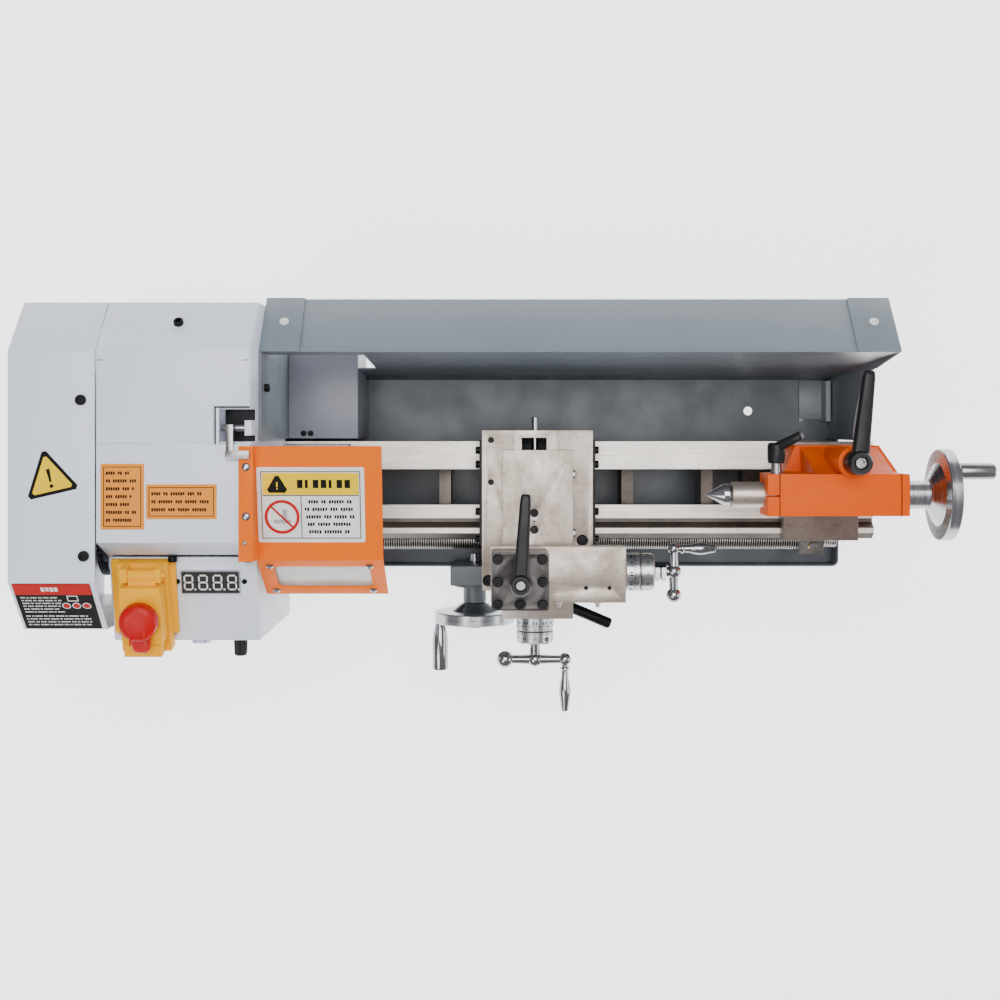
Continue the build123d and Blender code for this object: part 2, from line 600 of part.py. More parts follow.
wheel_shaft_r = 4
with BuildPart() as apron:
    apron_edge = [(-31, 112), (88.8, 112), (88.8, 45), (-3, 45), (-31, 58)]
    prism_y(apron_edge, (-83, -66))
    block((saddle_x[0], 88.8), (-66, -58), (100, 112))
    rod_y(rack_wheel_x, (-87, -83), rack_wheel_z, 18)
    rod_y(rack_wheel_x, (-101, -87), rack_wheel_z, 10)
    rod_y(rack_wheel_x, (-102, -65), rack_wheel_z, wheel_shaft_r + 0.06, mode=Mode.SUBTRACT)
    rod_y(58, (-90, -83), 85, 12)
    rod_y(58, (-91, -65), 85, 5.06, mode=Mode.SUBTRACT)

grip_reach = 30.3
with BuildPart() as handwheel:
    steps = [(0, wheel_shaft_r), (43.3, wheel_shaft_r), (43.3, 12), (50, 21), (50.5, 35), (60.5, 35)]
    steps += [(60.5, 25), (56, 21), (56, 9), (65, 8)]
    turned((rack_wheel_x, -58, rack_wheel_z), (0, -1, 0), steps)
    rod_y(rack_wheel_x - grip_reach, (-159, -116), rack_wheel_z, 2.5)

with BuildPart() as handwheel_grip:
    grip_start = (rack_wheel_x - grip_reach, -118.8, rack_wheel_z)
    turned(grip_start, (0, -1, 0), [(0, 4.4), (2, 5.2), (16, 6.9), (41, 6.9), (41.5, 6.4)])
    rod_y(grip_start[0], (-160, -117), rack_wheel_z, 2.55, mode=Mode.SUBTRACT)

with BuildPart() as half_nut_lever:
    rod_y(58, (-91, -64), 85, 5)
    rod_y(58, (-106, -90.4), 85, 9.5)
    handle_plane = Plane(origin=(60, -99, 85), x_dir=(0, 0, 1), z_dir=(47.6, -19.5, 5))
    with BuildSketch(handle_plane):
        Circle(4.8)
    extrude(amount=52)

nut_x = (22, 58)
nut_bore_r = screw_r + 0.4
nut_lift = 6                # each half nut stands this far off the screw when it is open

with BuildPart() as half_nut_upper:
    block(nut_x, (-57.5, -41.5), (screw_z + 0.5 + nut_lift, screw_z + 15 + nut_lift))
    rod_x((nut_x[0] - 1, nut_x[1] + 1), screw_y, screw_z + nut_lift, nut_bore_r, mode=Mode.SUBTRACT)

with BuildPart() as half_nut_lower:
    block(nut_x, (-57.5, -41.5), (screw_z - 15 - nut_lift, screw_z - 0.5 - nut_lift))
    rod_x((nut_x[0] - 1, nut_x[1] + 1), screw_y, screw_z - nut_lift, nut_bore_r, mode=Mode.SUBTRACT)

with BuildPart() as cross_slide:
    block(cross_x, (-104.4, 34), (plate_z[1] + run_gap, cross_top))
    cavity = [(25.5, 144), (56.5, 144), (59.6, dovetail_top + 0.4), (22.4, dovetail_top + 0.4)]
    prism_y(cavity, (-95, 35), mode=Mode.SUBTRACT)
    block((cross_screw_x - 13, cross_screw_x + 13), (-104.4, -98), (130, plate_z[1] + run_gap))
    rod_y(cross_screw_x, (-115.7, -104.4), cross_screw_z, 15)
    rod_y(cross_screw_x, (-116, -94), cross_screw_z, 4.46, mode=Mode.SUBTRACT)
    for y in (-17.6, -31.4):
        rod_z(39.6, y, (cross_top - 3, cross_top + 1), 3.4, mode=Mode.SUBTRACT)


def ball_crank(origin, direction, across, hub_at, reaches, ball_radii, handle_end):
    """Balanced ball handle: arms either side of the hub, and a shaped grip on one of them."""
    start = Vector(origin)
    along = Vector(direction)
    side = Vector(across)
    hub = start + along * hub_at
    balls = [hub, hub - side * reaches[0], hub + side * reaches[1]]
    poles = (90 * across[1], 90 * across[0], 0)
    for centre, radius in zip(balls, ball_radii):
        with Locations(centre):
            Sphere(radius, rotation=poles)
    arm_plane = Plane(origin=balls[1], x_dir=along, z_dir=side)
    with BuildSketch(arm_plane) as arm:
        Circle(3.2)
    extrude(arm.sketch, amount=reaches[0] + reaches[1])
    first = ball_radii[2] - 1
    length = handle_end - hub_at
    taper = [(first, 2.6), (first + 5, 3.0), (length * 0.45, 4.9)]
    taper += [(length - 6, 3.4), (length - 1, 3.0), (length, 2)]
    turned(tuple(balls[2]), direction, taper)


with BuildPart() as cross_crank:
    steps = [(0, 2.6), (27.3, 2.6), (27.3, 4), (155.3, 4), (155.3, 4.4), (177.3, 4.4)]
    steps += [(177.3, 15), (187.5, 15), (187.5, 4.4), (203.7, 4.4)]
    turned((cross_screw_x, 61.3, cross_screw_z), (0, -1, 0), steps)
    crank_at = (cross_screw_x, 0, cross_screw_z)
    ball_crank(crank_at, (0, -1, 0), (1, 0, 0), 140.6, (24.9, 24.9), (6.2, 7.0, 5.4), 184)

swivel_at = (42, -73)
base_z = (160.3, 166, 174, 181)
with BuildPart() as compound_base:
    rod_z(*swivel_at, (base_z[0], base_z[1]), 27)
    block((22, 76), (-87, -43), (base_z[1], base_z[2]))
    prism_x([(-74, base_z[2]), (-56, base_z[2]), (-52, base_z[3]), (-78, base_z[3])], (22, 76))
    rod_x((21, 77), top_screw_y, top_screw_z, 4.2, mode=Mode.SUBTRACT)
    block((60, 70), (top_screw_y - 6, top_screw_y + 6), (base_z[3] - 1, 187.5))
    rod_x((59, 71), top_screw_y, top_screw_z, 3.56, mode=Mode.SUBTRACT)

slide_x = (4.2, 112.1)
with BuildPart() as top_slide:
    block(slide_x, (-87.3, -42.7), (base_z[2] + run_gap, 190))
    cavity = [(-74.4, 174), (-55.6, 174), (-51.5, base_z[3] + 0.4), (-78.5, base_z[3] + 0.4)]
    prism_x(cavity, (slide_x[0] - 1, slide_x[1] + 1), mode=Mode.SUBTRACT)
    block((12, 106), (top_screw_y - 6.4, top_screw_y + 6.4), (base_z[3], 188), mode=Mode.SUBTRACT)
    rod_x((slide_x[1], 123.1), top_screw_y, top_screw_z, 15)
    rod_x((105, 124), top_screw_y, top_screw_z, 4.06, mode=Mode.SUBTRACT)
    rod_z(*post_mid, (190, 257), 5)
    for x, y in ((80.2, -75.6), (99, -75.6)):
        rod_z(x, y, (186, 191), 1.7, mode=Mode.SUBTRACT)

with BuildPart() as compound_crank:
    steps = [(0, 3.5), (92, 3.5), (92, 4), (109.4, 4), (109.4, 15), (120.8, 15), (120.8, 4), (122.5, 4)]
    steps += [(122.5, 6.5), (130.2, 6.5), (130.2, 4), (137.2, 4)]
    turned((14, top_screw_y, top_screw_z), (1, 0, 0), steps)
    crank_at = (0, top_screw_y, top_screw_z)
    ball_crank(crank_at, (1, 0, 0), (0, 1, 0), 151.2, (18.9, 18.5), (6.0, 5.9, 4.6), 185)

half_post = post_size / 2
screw_step = 17.4
screw_row = (-screw_step, 0, screw_step)
screw_spots = [(x, y) for x in screw_row for y in screw_row if (x, y) != (0, 0)]

with BuildPart() as toolpost:
    post_x = (post_mid[0] - half_post, post_mid[0] + half_post)
    post_y = (post_mid[1] - half_post, post_mid[1] + half_post)
    block(post_x, post_y, (190.3, post_z[1]))
    chamfer(toolpost.edges().filter_by(Axis.Z), length=1.5)
    for side in (-1, 1):
        slot_x = sorted((post_mid[0] + side * 10, post_mid[0] + side * 24))
        block(slot_x, (post_y[0] - 1, post_y[1] + 1), (204, 218), mode=Mode.SUBTRACT)
        slot_y = sorted((post_mid[1] + side * 10, post_mid[1] + side * 24))
        block((post_x[0] - 1, post_x[1] + 1), slot_y, (204, 218), mode=Mode.SUBTRACT)
    rod_z(*post_mid, (189, 233), 5.06, mode=Mode.SUBTRACT)
    for x, y in screw_spots:
        rod_z(post_mid[0] + x, post_mid[1] + y, (217, 233), 3.1, mode=Mode.SUBTRACT)

with BuildPart() as toolpost_screws:
    for x, y in screw_spots:
        spot = (post_mid[0] + x, post_mid[1] + y)
        rod_z(*spot, (217.2, 234), 3)
        rod_z(*spot, (234, 236), 4)
        rod_z(*spot, (233, 237), 2, mode=Mode.SUBTRACT)

with BuildPart() as toolpost_lever:
    rod_z(*post_mid, (236.5, 262), 8.2)
    near = (post_mid[0] + 1, post_mid[1])
    tip = (post_mid[0] + 3.9, post_mid[1] + 68.4)
    arm = [(near[0] - 5.5, near[1]), (near[0] + 5.5, near[1])]
    arm += [(tip[0] + 4.3, tip[1]), (tip[0] - 4.3, tip[1])]
    prism_z(arm, (251, 259))
    rod_z(*post_mid, (236.4, 258), 5.06, mode=Mode.SUBTRACT)
    rod_z(*post_mid, (259, 263), 3, mode=Mode.SUBTRACT)

# ---- tailstock ----------------------------------------------------------------------------------
base_x = (248.9, 311.6)
with BuildPart() as tailstock_base:
    prism_x(way_groove(136), base_x)
    block((258, 302), (-11, 15), (104, 122))

with BuildPart() as tailstock_body:
    side_view = [(242, 136), (335, 136), (335, 168), (320.3, 186), (320.3, 232), (tail_x[0], 232)]
    side_view += [(tail_x[0], 198.5), (222, 191), (236, 184)]
    prism_y(side_view, (-15.5, 16.8))
    block((249, 311), (-18, -15.5), (136, 160))
    prism_z([(243, 16.8), (335, 16.8), (320, 38), (252, 38)], (136, 168))
    rod_z(*clamp_at, (168, 236), 12)
    block((clamp_at[0] - 6, clamp_at[0] + 6), (10, 20), (168, 232))
    block((tail_x[1], 326.6), (-15.5, 16.8), (186, 232))
    prism_x([(16.8, 168), (37, 168), (16.8, 222)], (256, 318))
    rod_x((212, 330), 0, axis_z, quill_r + 0.05, mode=Mode.SUBTRACT)
    block((212, 226.4), (-0.6, 0.6), (218, 233), mode=Mode.SUBTRACT)
    rod_z(*clamp_at, (220, 240), 5.06, mode=Mode.SUBTRACT)
    rod_y(lock_x, (9, 20), lock_z, 4.06, mode=Mode.SUBTRACT)

with BuildPart() as quill:
    rod_x((193, 300), 0, axis_z, quill_r)
    rod_x((192, 214), 0, axis_z, 5.5, mode=Mode.SUBTRACT)
    rod_x((240, 301), 0, axis_z, 5.2, mode=Mode.SUBTRACT)

with BuildPart() as tail_center:
    point = [(0, 0.2), (14, 8.2), (18, 8.2), (20.4, 7.4), (20.4, 5.5), (40, 5.45)]
    turned((172.6, 0, axis_z), (1, 0, 0), point)

with BuildPart() as tail_handwheel:
    rod_x((262, 327), 0, axis_z, 4.8)
    steps = [(0, 11.2), (20, 11.2), (27, 25), (27.4, 36), (37, 36), (37, 28), (33, 26), (33, 9), (38, 8)]
    turned((327, 0, axis_z), (1, 0, 0), steps)
    tail_pin = (19, axis_z + 20)
    rod_x((360, 391), *tail_pin, 2.5)

with BuildPart() as tail_grip:
    turned((364.4, *tail_pin), (1, 0, 0), [(0, 5.6), (1, 6.4), (26.6, 6.4), (27.6, 5.6)])
    rod_x((364, 393), *tail_pin, 2.55, mode=Mode.SUBTRACT)

with BuildPart() as quill_lock_lever:
    rod_y(lock_x, (9.5, 27), lock_z, 4)
    rod_y(lock_x, (25, 41), lock_z, 6.8)
    handle_plane = Plane(origin=(lock_x, 38, lock_z), x_dir=(0, 0, 1), z_dir=(15, 9, 13))
    with BuildSketch(handle_plane):
        Rectangle(6, 8)
    extrude(amount=24)

with BuildPart() as tail_clamp_lever:
    rod_z(*clamp_at, (222, 240), 5)
    rod_z(*clamp_at, (236.4, 258), 9.5)
    sweep_angle = math.radians(6.1)
    tip = (clamp_at[0] + 70 * math.sin(sweep_angle), clamp_at[1] + 70 * math.cos(sweep_angle))
    arm = [(clamp_at[0] - 6.5, clamp_at[1]), (clamp_at[0] + 6.5, clamp_at[1])]
    arm += [(tip[0] + 4.5, tip[1]), (tip[0] - 4.5, tip[1])]
    prism_z(arm, (247, 256))

# ---- labels and files ---------------------------------------------------------------------------
pieces = {
    "rubber_feet": rubber_feet, "chip_tray": chip_tray, "bed": bed, "bed_rack": bed_rack,
    "leadscrew_brackets": leadscrew_brackets, "splash_back": splash_back, "splash_ends": splash_ends,
    "motor_cover": motor_cover, "motor": motor, "motor_pulley": motor_pulley, "drive_belt": drive_belt,
    "headstock": headstock, "spindle_bearings": spindle_bearings, "spindle": spindle,
    "spindle_pulley": spindle_pulley, "headstock_cover": headstock_cover, "headstock_lid": headstock_lid,
    "gear_cover": gear_cover, "control_box": control_box, "estop_base": estop_base, "estop_lid": estop_lid,
    "estop_button": estop_button, "speed_knob": speed_knob, "direction_knob": direction_knob,
    "chuck_body": chuck_body, "chuck_jaw_1": jaws[0], "chuck_jaw_2": jaws[1], "chuck_jaw_3": jaws[2],
    "gear_studs": gear_studs, "spindle_gear": spindle_gear, "tumbler_gear": tumbler_gear,
    "stud_gear": stud_gear, "compound_gear": compound_gear, "leadscrew": leadscrew,
    "chuck_guard": chuck_guard, "guard_window": guard_window, "guard_arm": guard_arm, "saddle": saddle,
    "apron": apron, "handwheel": handwheel, "handwheel_grip": handwheel_grip,
    "half_nut_lever": half_nut_lever, "half_nut_upper": half_nut_upper, "half_nut_lower": half_nut_lower,
    "cross_slide": cross_slide, "cross_crank": cross_crank, "compound_base": compound_base,
    "top_slide": top_slide, "compound_crank": compound_crank, "toolpost": toolpost,
    "toolpost_screws": toolpost_screws, "toolpost_lever": toolpost_lever,
    "tailstock_base": tailstock_base, "tailstock_body": tailstock_body, "quill": quill,
    "tail_center": tail_center, "tail_handwheel": tail_handwheel, "tail_grip": tail_grip,
    "quill_lock_lever": quill_lock_lever, "tail_clamp_lever": tail_clamp_lever,
}
for name, piece in pieces.items():
    piece.part.label = name
    export_step(piece.part, f"parts/{name}.step")
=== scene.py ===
import bmesh
import bpy
import json
import math
from mathutils import Matrix, Vector
from mathutils.bvhtree import BVHTree


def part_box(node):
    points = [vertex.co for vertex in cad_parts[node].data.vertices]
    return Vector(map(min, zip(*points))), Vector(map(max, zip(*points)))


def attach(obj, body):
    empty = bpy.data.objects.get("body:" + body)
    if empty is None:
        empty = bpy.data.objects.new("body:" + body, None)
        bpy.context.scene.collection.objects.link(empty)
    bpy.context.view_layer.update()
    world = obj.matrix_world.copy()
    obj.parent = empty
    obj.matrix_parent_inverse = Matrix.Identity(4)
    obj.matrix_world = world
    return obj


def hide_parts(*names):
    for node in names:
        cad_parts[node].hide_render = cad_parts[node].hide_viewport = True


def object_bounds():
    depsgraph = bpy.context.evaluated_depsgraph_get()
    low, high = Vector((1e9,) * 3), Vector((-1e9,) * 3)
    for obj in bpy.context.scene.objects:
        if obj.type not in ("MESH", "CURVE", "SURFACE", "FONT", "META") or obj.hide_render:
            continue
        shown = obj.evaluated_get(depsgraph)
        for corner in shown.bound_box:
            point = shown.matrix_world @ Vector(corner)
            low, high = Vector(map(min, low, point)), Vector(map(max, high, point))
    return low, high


# Looks of the bench lathe: materials for the CAD nodes, softened copies of the cast and sheet-metal pieces,
# and the small hardware, plates, dials and handles that ride on the moving bodies. Metres throughout.
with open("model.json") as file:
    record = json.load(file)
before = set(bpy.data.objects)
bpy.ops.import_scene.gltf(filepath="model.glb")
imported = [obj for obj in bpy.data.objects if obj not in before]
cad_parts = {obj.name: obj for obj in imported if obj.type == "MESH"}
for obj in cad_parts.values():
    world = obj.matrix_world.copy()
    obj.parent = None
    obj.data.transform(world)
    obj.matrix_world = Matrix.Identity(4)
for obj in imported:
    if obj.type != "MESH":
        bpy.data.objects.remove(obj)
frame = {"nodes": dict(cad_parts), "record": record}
cad_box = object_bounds()
nodes = frame["nodes"]
MM = 0.001
ALONG = (1, 0, 0)
BACK = (0, 1, 0)
FRONT = (0, -1, 0)
UP = (0, 0, 1)
HERE = Matrix.Identity(4)
# Printed marks stand this far off their plate.
PRINT = 0.0002


def mm(*values):
    """Point given in millimetres."""
    return Vector(values) * MM


def at(x, y, z):
    """Matrix that moves to a point given in millimetres."""
    return Matrix.Translation(mm(x, y, z))


# ---- materials ----------------------------------------------------------------------------------
class Surface:
    """A node material under construction, with short names for the nodes that every finish uses."""

    def __init__(self, name, rough=0.4, metal=0.0):
        self.mat = bpy.data.materials.new(name)
        self.mat.use_nodes = True
        self.tree = self.mat.node_tree
        self.shader = self.tree.nodes["Principled BSDF"]
        self.shader.inputs["Roughness"].default_value = rough
        self.shader.inputs["Metallic"].default_value = metal
        self.coords = self.tree.nodes.new("ShaderNodeTexCoord")
        self.height = None

    def link(self, source, target):
        self.tree.links.new(source, target)

    def node(self, kind, inputs=(), **settings):
        """New shader node with its settings; inputs are keys and values, and a socket is linked."""
        made = self.tree.nodes.new(f"ShaderNode{kind}")
        for key, value in settings.items():
            setattr(made, key, value)
        for key, value in inputs:
            if isinstance(value, bpy.types.NodeSocket):
                self.link(value, made.inputs[key])
            else:
                made.inputs[key].default_value = value
        return made

    def grain(self, scale, detail=4.0, stretch=(1, 1, 1), rough=0.55):
        """Noise in the piece's own metres, drawn out along an axis by stretch."""
        mapping = self.node("Mapping", [("Scale", stretch), ("Vector", self.coords.outputs["Object"])])
        inputs = [("Scale", scale), ("Detail", detail), ("Roughness", rough)]
        return self.node("TexNoise", [*inputs, ("Vector", mapping.outputs["Vector"])]).outputs["Fac"]

    def ramp(self, value, stops):
        """Colour ramp over (position, colour) stops."""
        node = self.node("ValToRGB", [("Fac", value)])
        elements = node.color_ramp.elements
        while len(elements) < len(stops):
            elements.new(0.5)
        for element, (place, colour) in zip(elements, stops):
            element.position = place
            element.color = (*colour, 1)
        return node.outputs["Color"]

    def mix(self, factor, first, second):
        """Mix of two colours, given as sockets or as plain colours."""
        inputs = [(0, factor)]
        for key, value in ((6, first), (7, second)):
            inputs.append((key, value if isinstance(value, bpy.types.NodeSocket) else (*value, 1)))
        return self.node("Mix", inputs, data_type="RGBA").outputs[2]

    def span(self, value, low, high, from_low=0.3, from_high=0.7):
        """Value mapped from one range to another."""
        inputs = [("From Min", from_low), ("From Max", from_high), ("To Min", low), ("To Max", high)]
        return self.node("MapRange", [*inputs, ("Value", value)]).outputs["Result"]

    def axis(self, source, letter):
        """One coordinate of the object position or of the normal."""
        return self.node("SeparateXYZ", [("Vector", self.coords.outputs[source])]).outputs[letter]

    def colour(self, socket):
        self.link(socket, self.shader.inputs["Base Color"])

    def roughness(self, value, low, high):
        self.link(self.span(value, low, high), self.shader.inputs["Roughness"])

    def bump(self, value, distance, strength=1.0):
        """Adds a layer of relief, in metres, over any relief that is already there."""
        node = self.node("Bump", [("Distance", distance), ("Strength", strength), ("Height", value)])
        if self.height is not None:
            self.link(self.height, node.inputs["Normal"])
        self.height = node.outputs["Normal"]
        self.link(self.height, self.shader.inputs["Normal"])

    def facing_up(self):
        """1 on faces that look up in the piece's own frame, 0 on the others."""
        return self.span(self.axis("Normal", "Z"), 0.0, 1.0, 0.7, 0.95)


def scaled(colour, factor):
    return tuple(min(1.0, channel * factor) for channel in colour)


def painted(name, colour, rough=0.35, mottle=0.06, peel=0.00006, coat=0.15, gloss=0.5):
    """Sprayed or powder-coated metal: faint colour drift, orange-peel relief and uneven gloss."""
    s = Surface(name, rough)
    drift = s.grain(9, 3)
    speck = s.grain(420, 2)
    broad = s.ramp(drift, [(0.3, scaled(colour, 1 - mottle)), (0.7, scaled(colour, 1 + mottle))])
    s.colour(s.mix(s.span(speck, 0, 0.35), broad, scaled(colour, 0.9)))
    s.roughness(s.grain(35, 4), rough - 0.06, rough + 0.1)
    s.bump(s.grain(650, 2), peel)
    s.shader.inputs["Coat Weight"].default_value = coat
    s.shader.inputs["Coat Roughness"].default_value = 0.25
    s.shader.inputs["Specular IOR Level"].default_value = gloss
    return s.mat


def machined(name, light, dark, lines=(1, 30, 30), rough=0.34, metal=0.75, stain=0.5):
    """Ground or milled steel: cutter lines, mottled oil stain and darker speckles."""
    s = Surface(name, rough, metal)
    streak = s.grain(60, 5, lines)
    cloud = s.grain(26, 8, rough=0.7)
    pits = s.grain(330, 6, rough=0.75)
    base = s.ramp(cloud, [(0.32, dark), (0.56, light), (0.8, scaled(light, 1.08))])
    lined = s.mix(s.span(streak, 0.0, 0.5), base, scaled(light, 1.1))
    s.colour(s.mix(s.span(pits, 0.0, stain, 0.52, 0.75), lined, scaled(dark, 0.6)))
    s.roughness(cloud, rough + 0.12, rough - 0.06)
    s.bump(streak, 0.00004)
    s.bump(pits, 0.00008)
    return s.mat


def bright(name, colour=(0.86, 0.86, 0.87), rough=0.12, lines=(1, 1, 1), scale=300):
    """Turned, polished or plated metal with fine tool lines and faint smears."""
    s = Surface(name, rough, 1.0)
    smear = s.grain(45, 4)
    s.colour(s.ramp(smear, [(0.3, scaled(colour, 0.93)), (0.7, colour)]))
    s.roughness(smear, rough * 0.7, rough * 1.6)
    s.bump(s.grain(scale, 3, lines), 0.00003)
    return s.mat


def turned_faces(name, axis, centre, colour=(0.44, 0.45, 0.47), rough=0.24):
    """Lathe-turned aluminium: fine rings about an axis through a centre."""
    s = Surface(name, rough, 1.0)
    squash = tuple(0.15 if k == axis else 1 for k in range(3))
    shift = s.node("VectorMath", [(0, s.coords.outputs["Object"]), (1, centre)], operation="SUBTRACT")
    flatten = s.node("VectorMath", [(0, shift.outputs["Vector"]), (1, squash)], operation="MULTIPLY")
    radius = s.node("VectorMath", [(0, flatten.outputs["Vector"])], operation="LENGTH")
    rings = s.node("TexNoise", [("Scale", 1500), ("Detail", 3)], noise_dimensions="1D")
    s.link(radius.outputs["Value"], rings.inputs["W"])
    s.colour(s.ramp(rings.outputs["Fac"], [(0.25, scaled(colour, 0.82)), (0.75, colour)]))
    s.roughness(rings.outputs["Fac"], rough - 0.06, rough + 0.08)
    s.bump(rings.outputs["Fac"], 0.00005)
    return s.mat


def moulded(name, colour, rough=0.4, texture=0.00005, gloss=0.5):
    """Moulded plastic: fine spark texture and slight wear on the gloss."""
    s = Surface(name, rough)
    s.colour(s.ramp(s.grain(18, 4), [(0.3, scaled(colour, 0.9)), (0.7, scaled(colour, 1.06))]))
    s.roughness(s.grain(60, 4), rough - 0.08, rough + 0.1)
    s.bump(s.grain(900, 3), texture)
    s.shader.inputs["Specular IOR Level"].default_value = gloss
    return s.mat


def cast_bed(name):
    """Bed casting: dark oily sides, with the tops of the ways ground bright."""
    s = Surface(name, 0.45, 0.6)
    cloud = s.grain(22, 7, rough=0.7)
    pits = s.grain(300, 5, rough=0.7)
    streak = s.grain(45, 6, (0.35, 22, 22), 0.65)
    sides = s.ramp(cloud, [(0.3, (0.06, 0.05, 0.043)), (0.7, (0.15, 0.125, 0.105))])
    worn = s.ramp(streak, [(0.3, (0.62, 0.56, 0.50)), (0.6, (0.88, 0.83, 0.76))])
    tops = s.mix(s.span(pits, 0, 0.3, 0.5, 0.72), worn, (0.36, 0.31, 0.25))
    high = s.span(s.axis("Object", "Z"), 0.0, 1.0, 0.1185, 0.1195)
    both = s.node("Math", [(0, high), (1, s.facing_up())], operation="MULTIPLY")
    s.colour(s.mix(both.outputs["Value"], sides, tops))
    s.roughness(cloud, 0.5, 0.36)
    s.bump(pits, 0.00012)
    return s.mat


def thread_steel(name, start, pitch):
    """Screw steel along X: bright crests, and grooves at the thread's pitch darkened with painted shade."""
    s = Surface(name, 0.32, 0.9)
    value = s.axis("Object", "X")
    for operation, amount in (("SUBTRACT", start), ("DIVIDE", pitch), ("FRACT", 0.0)):
        value = s.node("Math", [(0, value), (1, amount)], operation=operation).outputs["Value"]
    # The groove colour is painted shade, laid on the thread's cut grooves.
    crest, groove = (0.62, 0.60, 0.57), (0.03, 0.027, 0.024)
    shaded_bands = s.ramp(value, [(0.0, crest), (0.36, crest), (0.46, groove), (0.92, groove), (1.0, crest)])
    cloud = s.grain(40, 5, rough=0.7)
    s.colour(s.mix(s.span(cloud, 0.0, 0.5), shaded_bands, (0.10, 0.09, 0.08)))
    s.roughness(cloud, 0.26, 0.42)
    s.bump(s.grain(300, 4), 0.00004)
    return s.mat


def clear_panel(name):
    """Clear, slightly hazed plastic sheet."""
    s = Surface(name, 0.18)
    s.colour(s.ramp(s.grain(30, 3), [(0.3, (0.62, 0.60, 0.54)), (0.7, (0.80, 0.79, 0.74))]))
    s.shader.inputs["Transmission Weight"].default_value = 0.45
    s.shader.inputs["IOR"].default_value = 1.49
    s.bump(s.grain(260, 3), 0.00003)
    return s.mat


THREAD_START = 0.0602
THREAD_PITCH = 0.0020
STEEL = (0.44, 0.375, 0.33)
STEEL_DARK = (0.19, 0.15, 0.115)
look = {
    "rubber": moulded("rubber_black", (0.022, 0.022, 0.023), 0.7, 0.0001, 0.3),
    # The chip tray has the splash guard's slate paint, darkened here into painted shade.
    "tray": painted("tray_slate_shaded", (0.058, 0.074, 0.098), 0.36),
    "guard": painted("splash_slate", (0.180, 0.215, 0.250), 0.34),
    "grey": painted("cover_grey", (0.72, 0.77, 0.90), 0.38, 0.02),
    "light_grey": painted("motor_cover_grey", (0.25, 0.26, 0.32), 0.38, 0.03),
    "orange": painted("guard_orange", (0.86, 0.150, 0.0), 0.42, 0.02, coat=0.0, gloss=0.08),
    "orange_cast": painted("tailstock_orange", (0.80, 0.100, 0.0), 0.42, 0.06, 0.00015, 0.0, 0.10),
    "dark_cast": painted("apron_slate", (0.085, 0.10, 0.115), 0.42, 0.1, 0.0003),
    "bed": cast_bed("bed_iron"),
    "ground_y": machined("ground_steel_y", STEEL, STEEL_DARK, (30, 1, 30)),
    "ground_x": machined("ground_steel_x", STEEL, STEEL_DARK, (1, 30, 30)),
    "post": machined("toolpost_steel", (0.075, 0.067, 0.065), (0.03, 0.026, 0.025), (1, 18, 18), 0.30, 0.6),
    "iron": machined("bare_iron", (0.17, 0.145, 0.125), (0.075, 0.06, 0.05), (1, 12, 12), 0.42, 0.5),
    "steel": bright("bright_steel", (0.32, 0.31, 0.31), 0.22, (1, 12, 12)),
    "chrome": bright("chrome", (0.34, 0.345, 0.36), 0.10),
    "thread": thread_steel("screw_steel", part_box("leadscrew")[0].x + THREAD_START, THREAD_PITCH),
    "chuck": machined("chuck_steel", (0.50, 0.49, 0.47), (0.28, 0.27, 0.25), (12, 1, 1), 0.25, 0.95, 0.2),
    "black": moulded("black_plastic", (0.008, 0.008, 0.010), 0.36, gloss=0.28),
    # Black oxide of the small hardware, also used as painted shade in the pocket behind the cross slide.
    "oxide": bright("black_oxide_and_shade", (0.018, 0.018, 0.019), 0.38),
    "yellow": moulded("switch_yellow", (0.95, 0.43, 0.0), 0.38, gloss=0.1),
    "red": moulded("stop_red", (0.50, 0.002, 0.004), 0.32, gloss=0.2),
    "window": clear_panel("window_clear"),
    "motor": painted("motor_black", (0.02, 0.02, 0.022), 0.45),
    "belt": moulded("belt_rubber", (0.02, 0.02, 0.02), 0.6),
    "white": moulded("plate_white", (0.80, 0.80, 0.78), 0.4),
    "label_orange": moulded("plate_orange", (0.84, 0.29, 0.035), 0.45, gloss=0.1),
    "label_yellow": moulded("plate_yellow", (0.90, 0.60, 0.0), 0.4, gloss=0.1),
    "label_red": moulded("plate_red", (0.48, 0.012, 0.010), 0.4, gloss=0.1),
    "ink": moulded("plate_ink", (0.006, 0.006, 0.006), 0.5, gloss=0.1),
    "grey_ink": moulded("plate_grey", (0.35, 0.36, 0.37), 0.5),
    "bezel": moulded("switch_grey", (0.27, 0.28, 0.29), 0.45),
    "wheel_y": turned_faces("wheel_rings_y", 1, (-0.0107, 0, 0.078)),
    "wheel_x": turned_faces("wheel_rings_x", 0, (0, 0, 0.210)),
    # Pale grey of the painted reflection and painted highlight strips on the chip tray.
    "tray_highlight": painted("tray_highlight_grey", (0.42, 0.46, 0.50), 0.32),
    "bracket": machined("bracket_iron", (0.16, 0.15, 0.15), (0.07, 0.065, 0.06), (1, 12, 12), 0.42, 0.5),
    "brass": bright("brass", (0.62, 0.42, 0.13), 0.25),
    "polish": bright("polished_point", (0.42, 0.42, 0.44), 0.14, (25, 1, 1), 200),
    "dial": bright("dial_satin", (0.46, 0.47, 0.49), 0.26, (1, 1, 1), 500),
}


# ---- mesh tools ---------------------------------------------------------------------------------
def circle(radius, count=32, corners=0):
    """Points of a circle, or of a regular polygon with that distance to its flats."""
    points = []
    for k in range(count):
        angle = 2 * math.pi * k / count
        reach = radius
        if corners:
            sector = 2 * math.pi / corners
            reach = radius / math.cos((angle % sector) - sector / 2)
        points.append((reach * math.cos(angle), reach * math.sin(angle)))
    return points


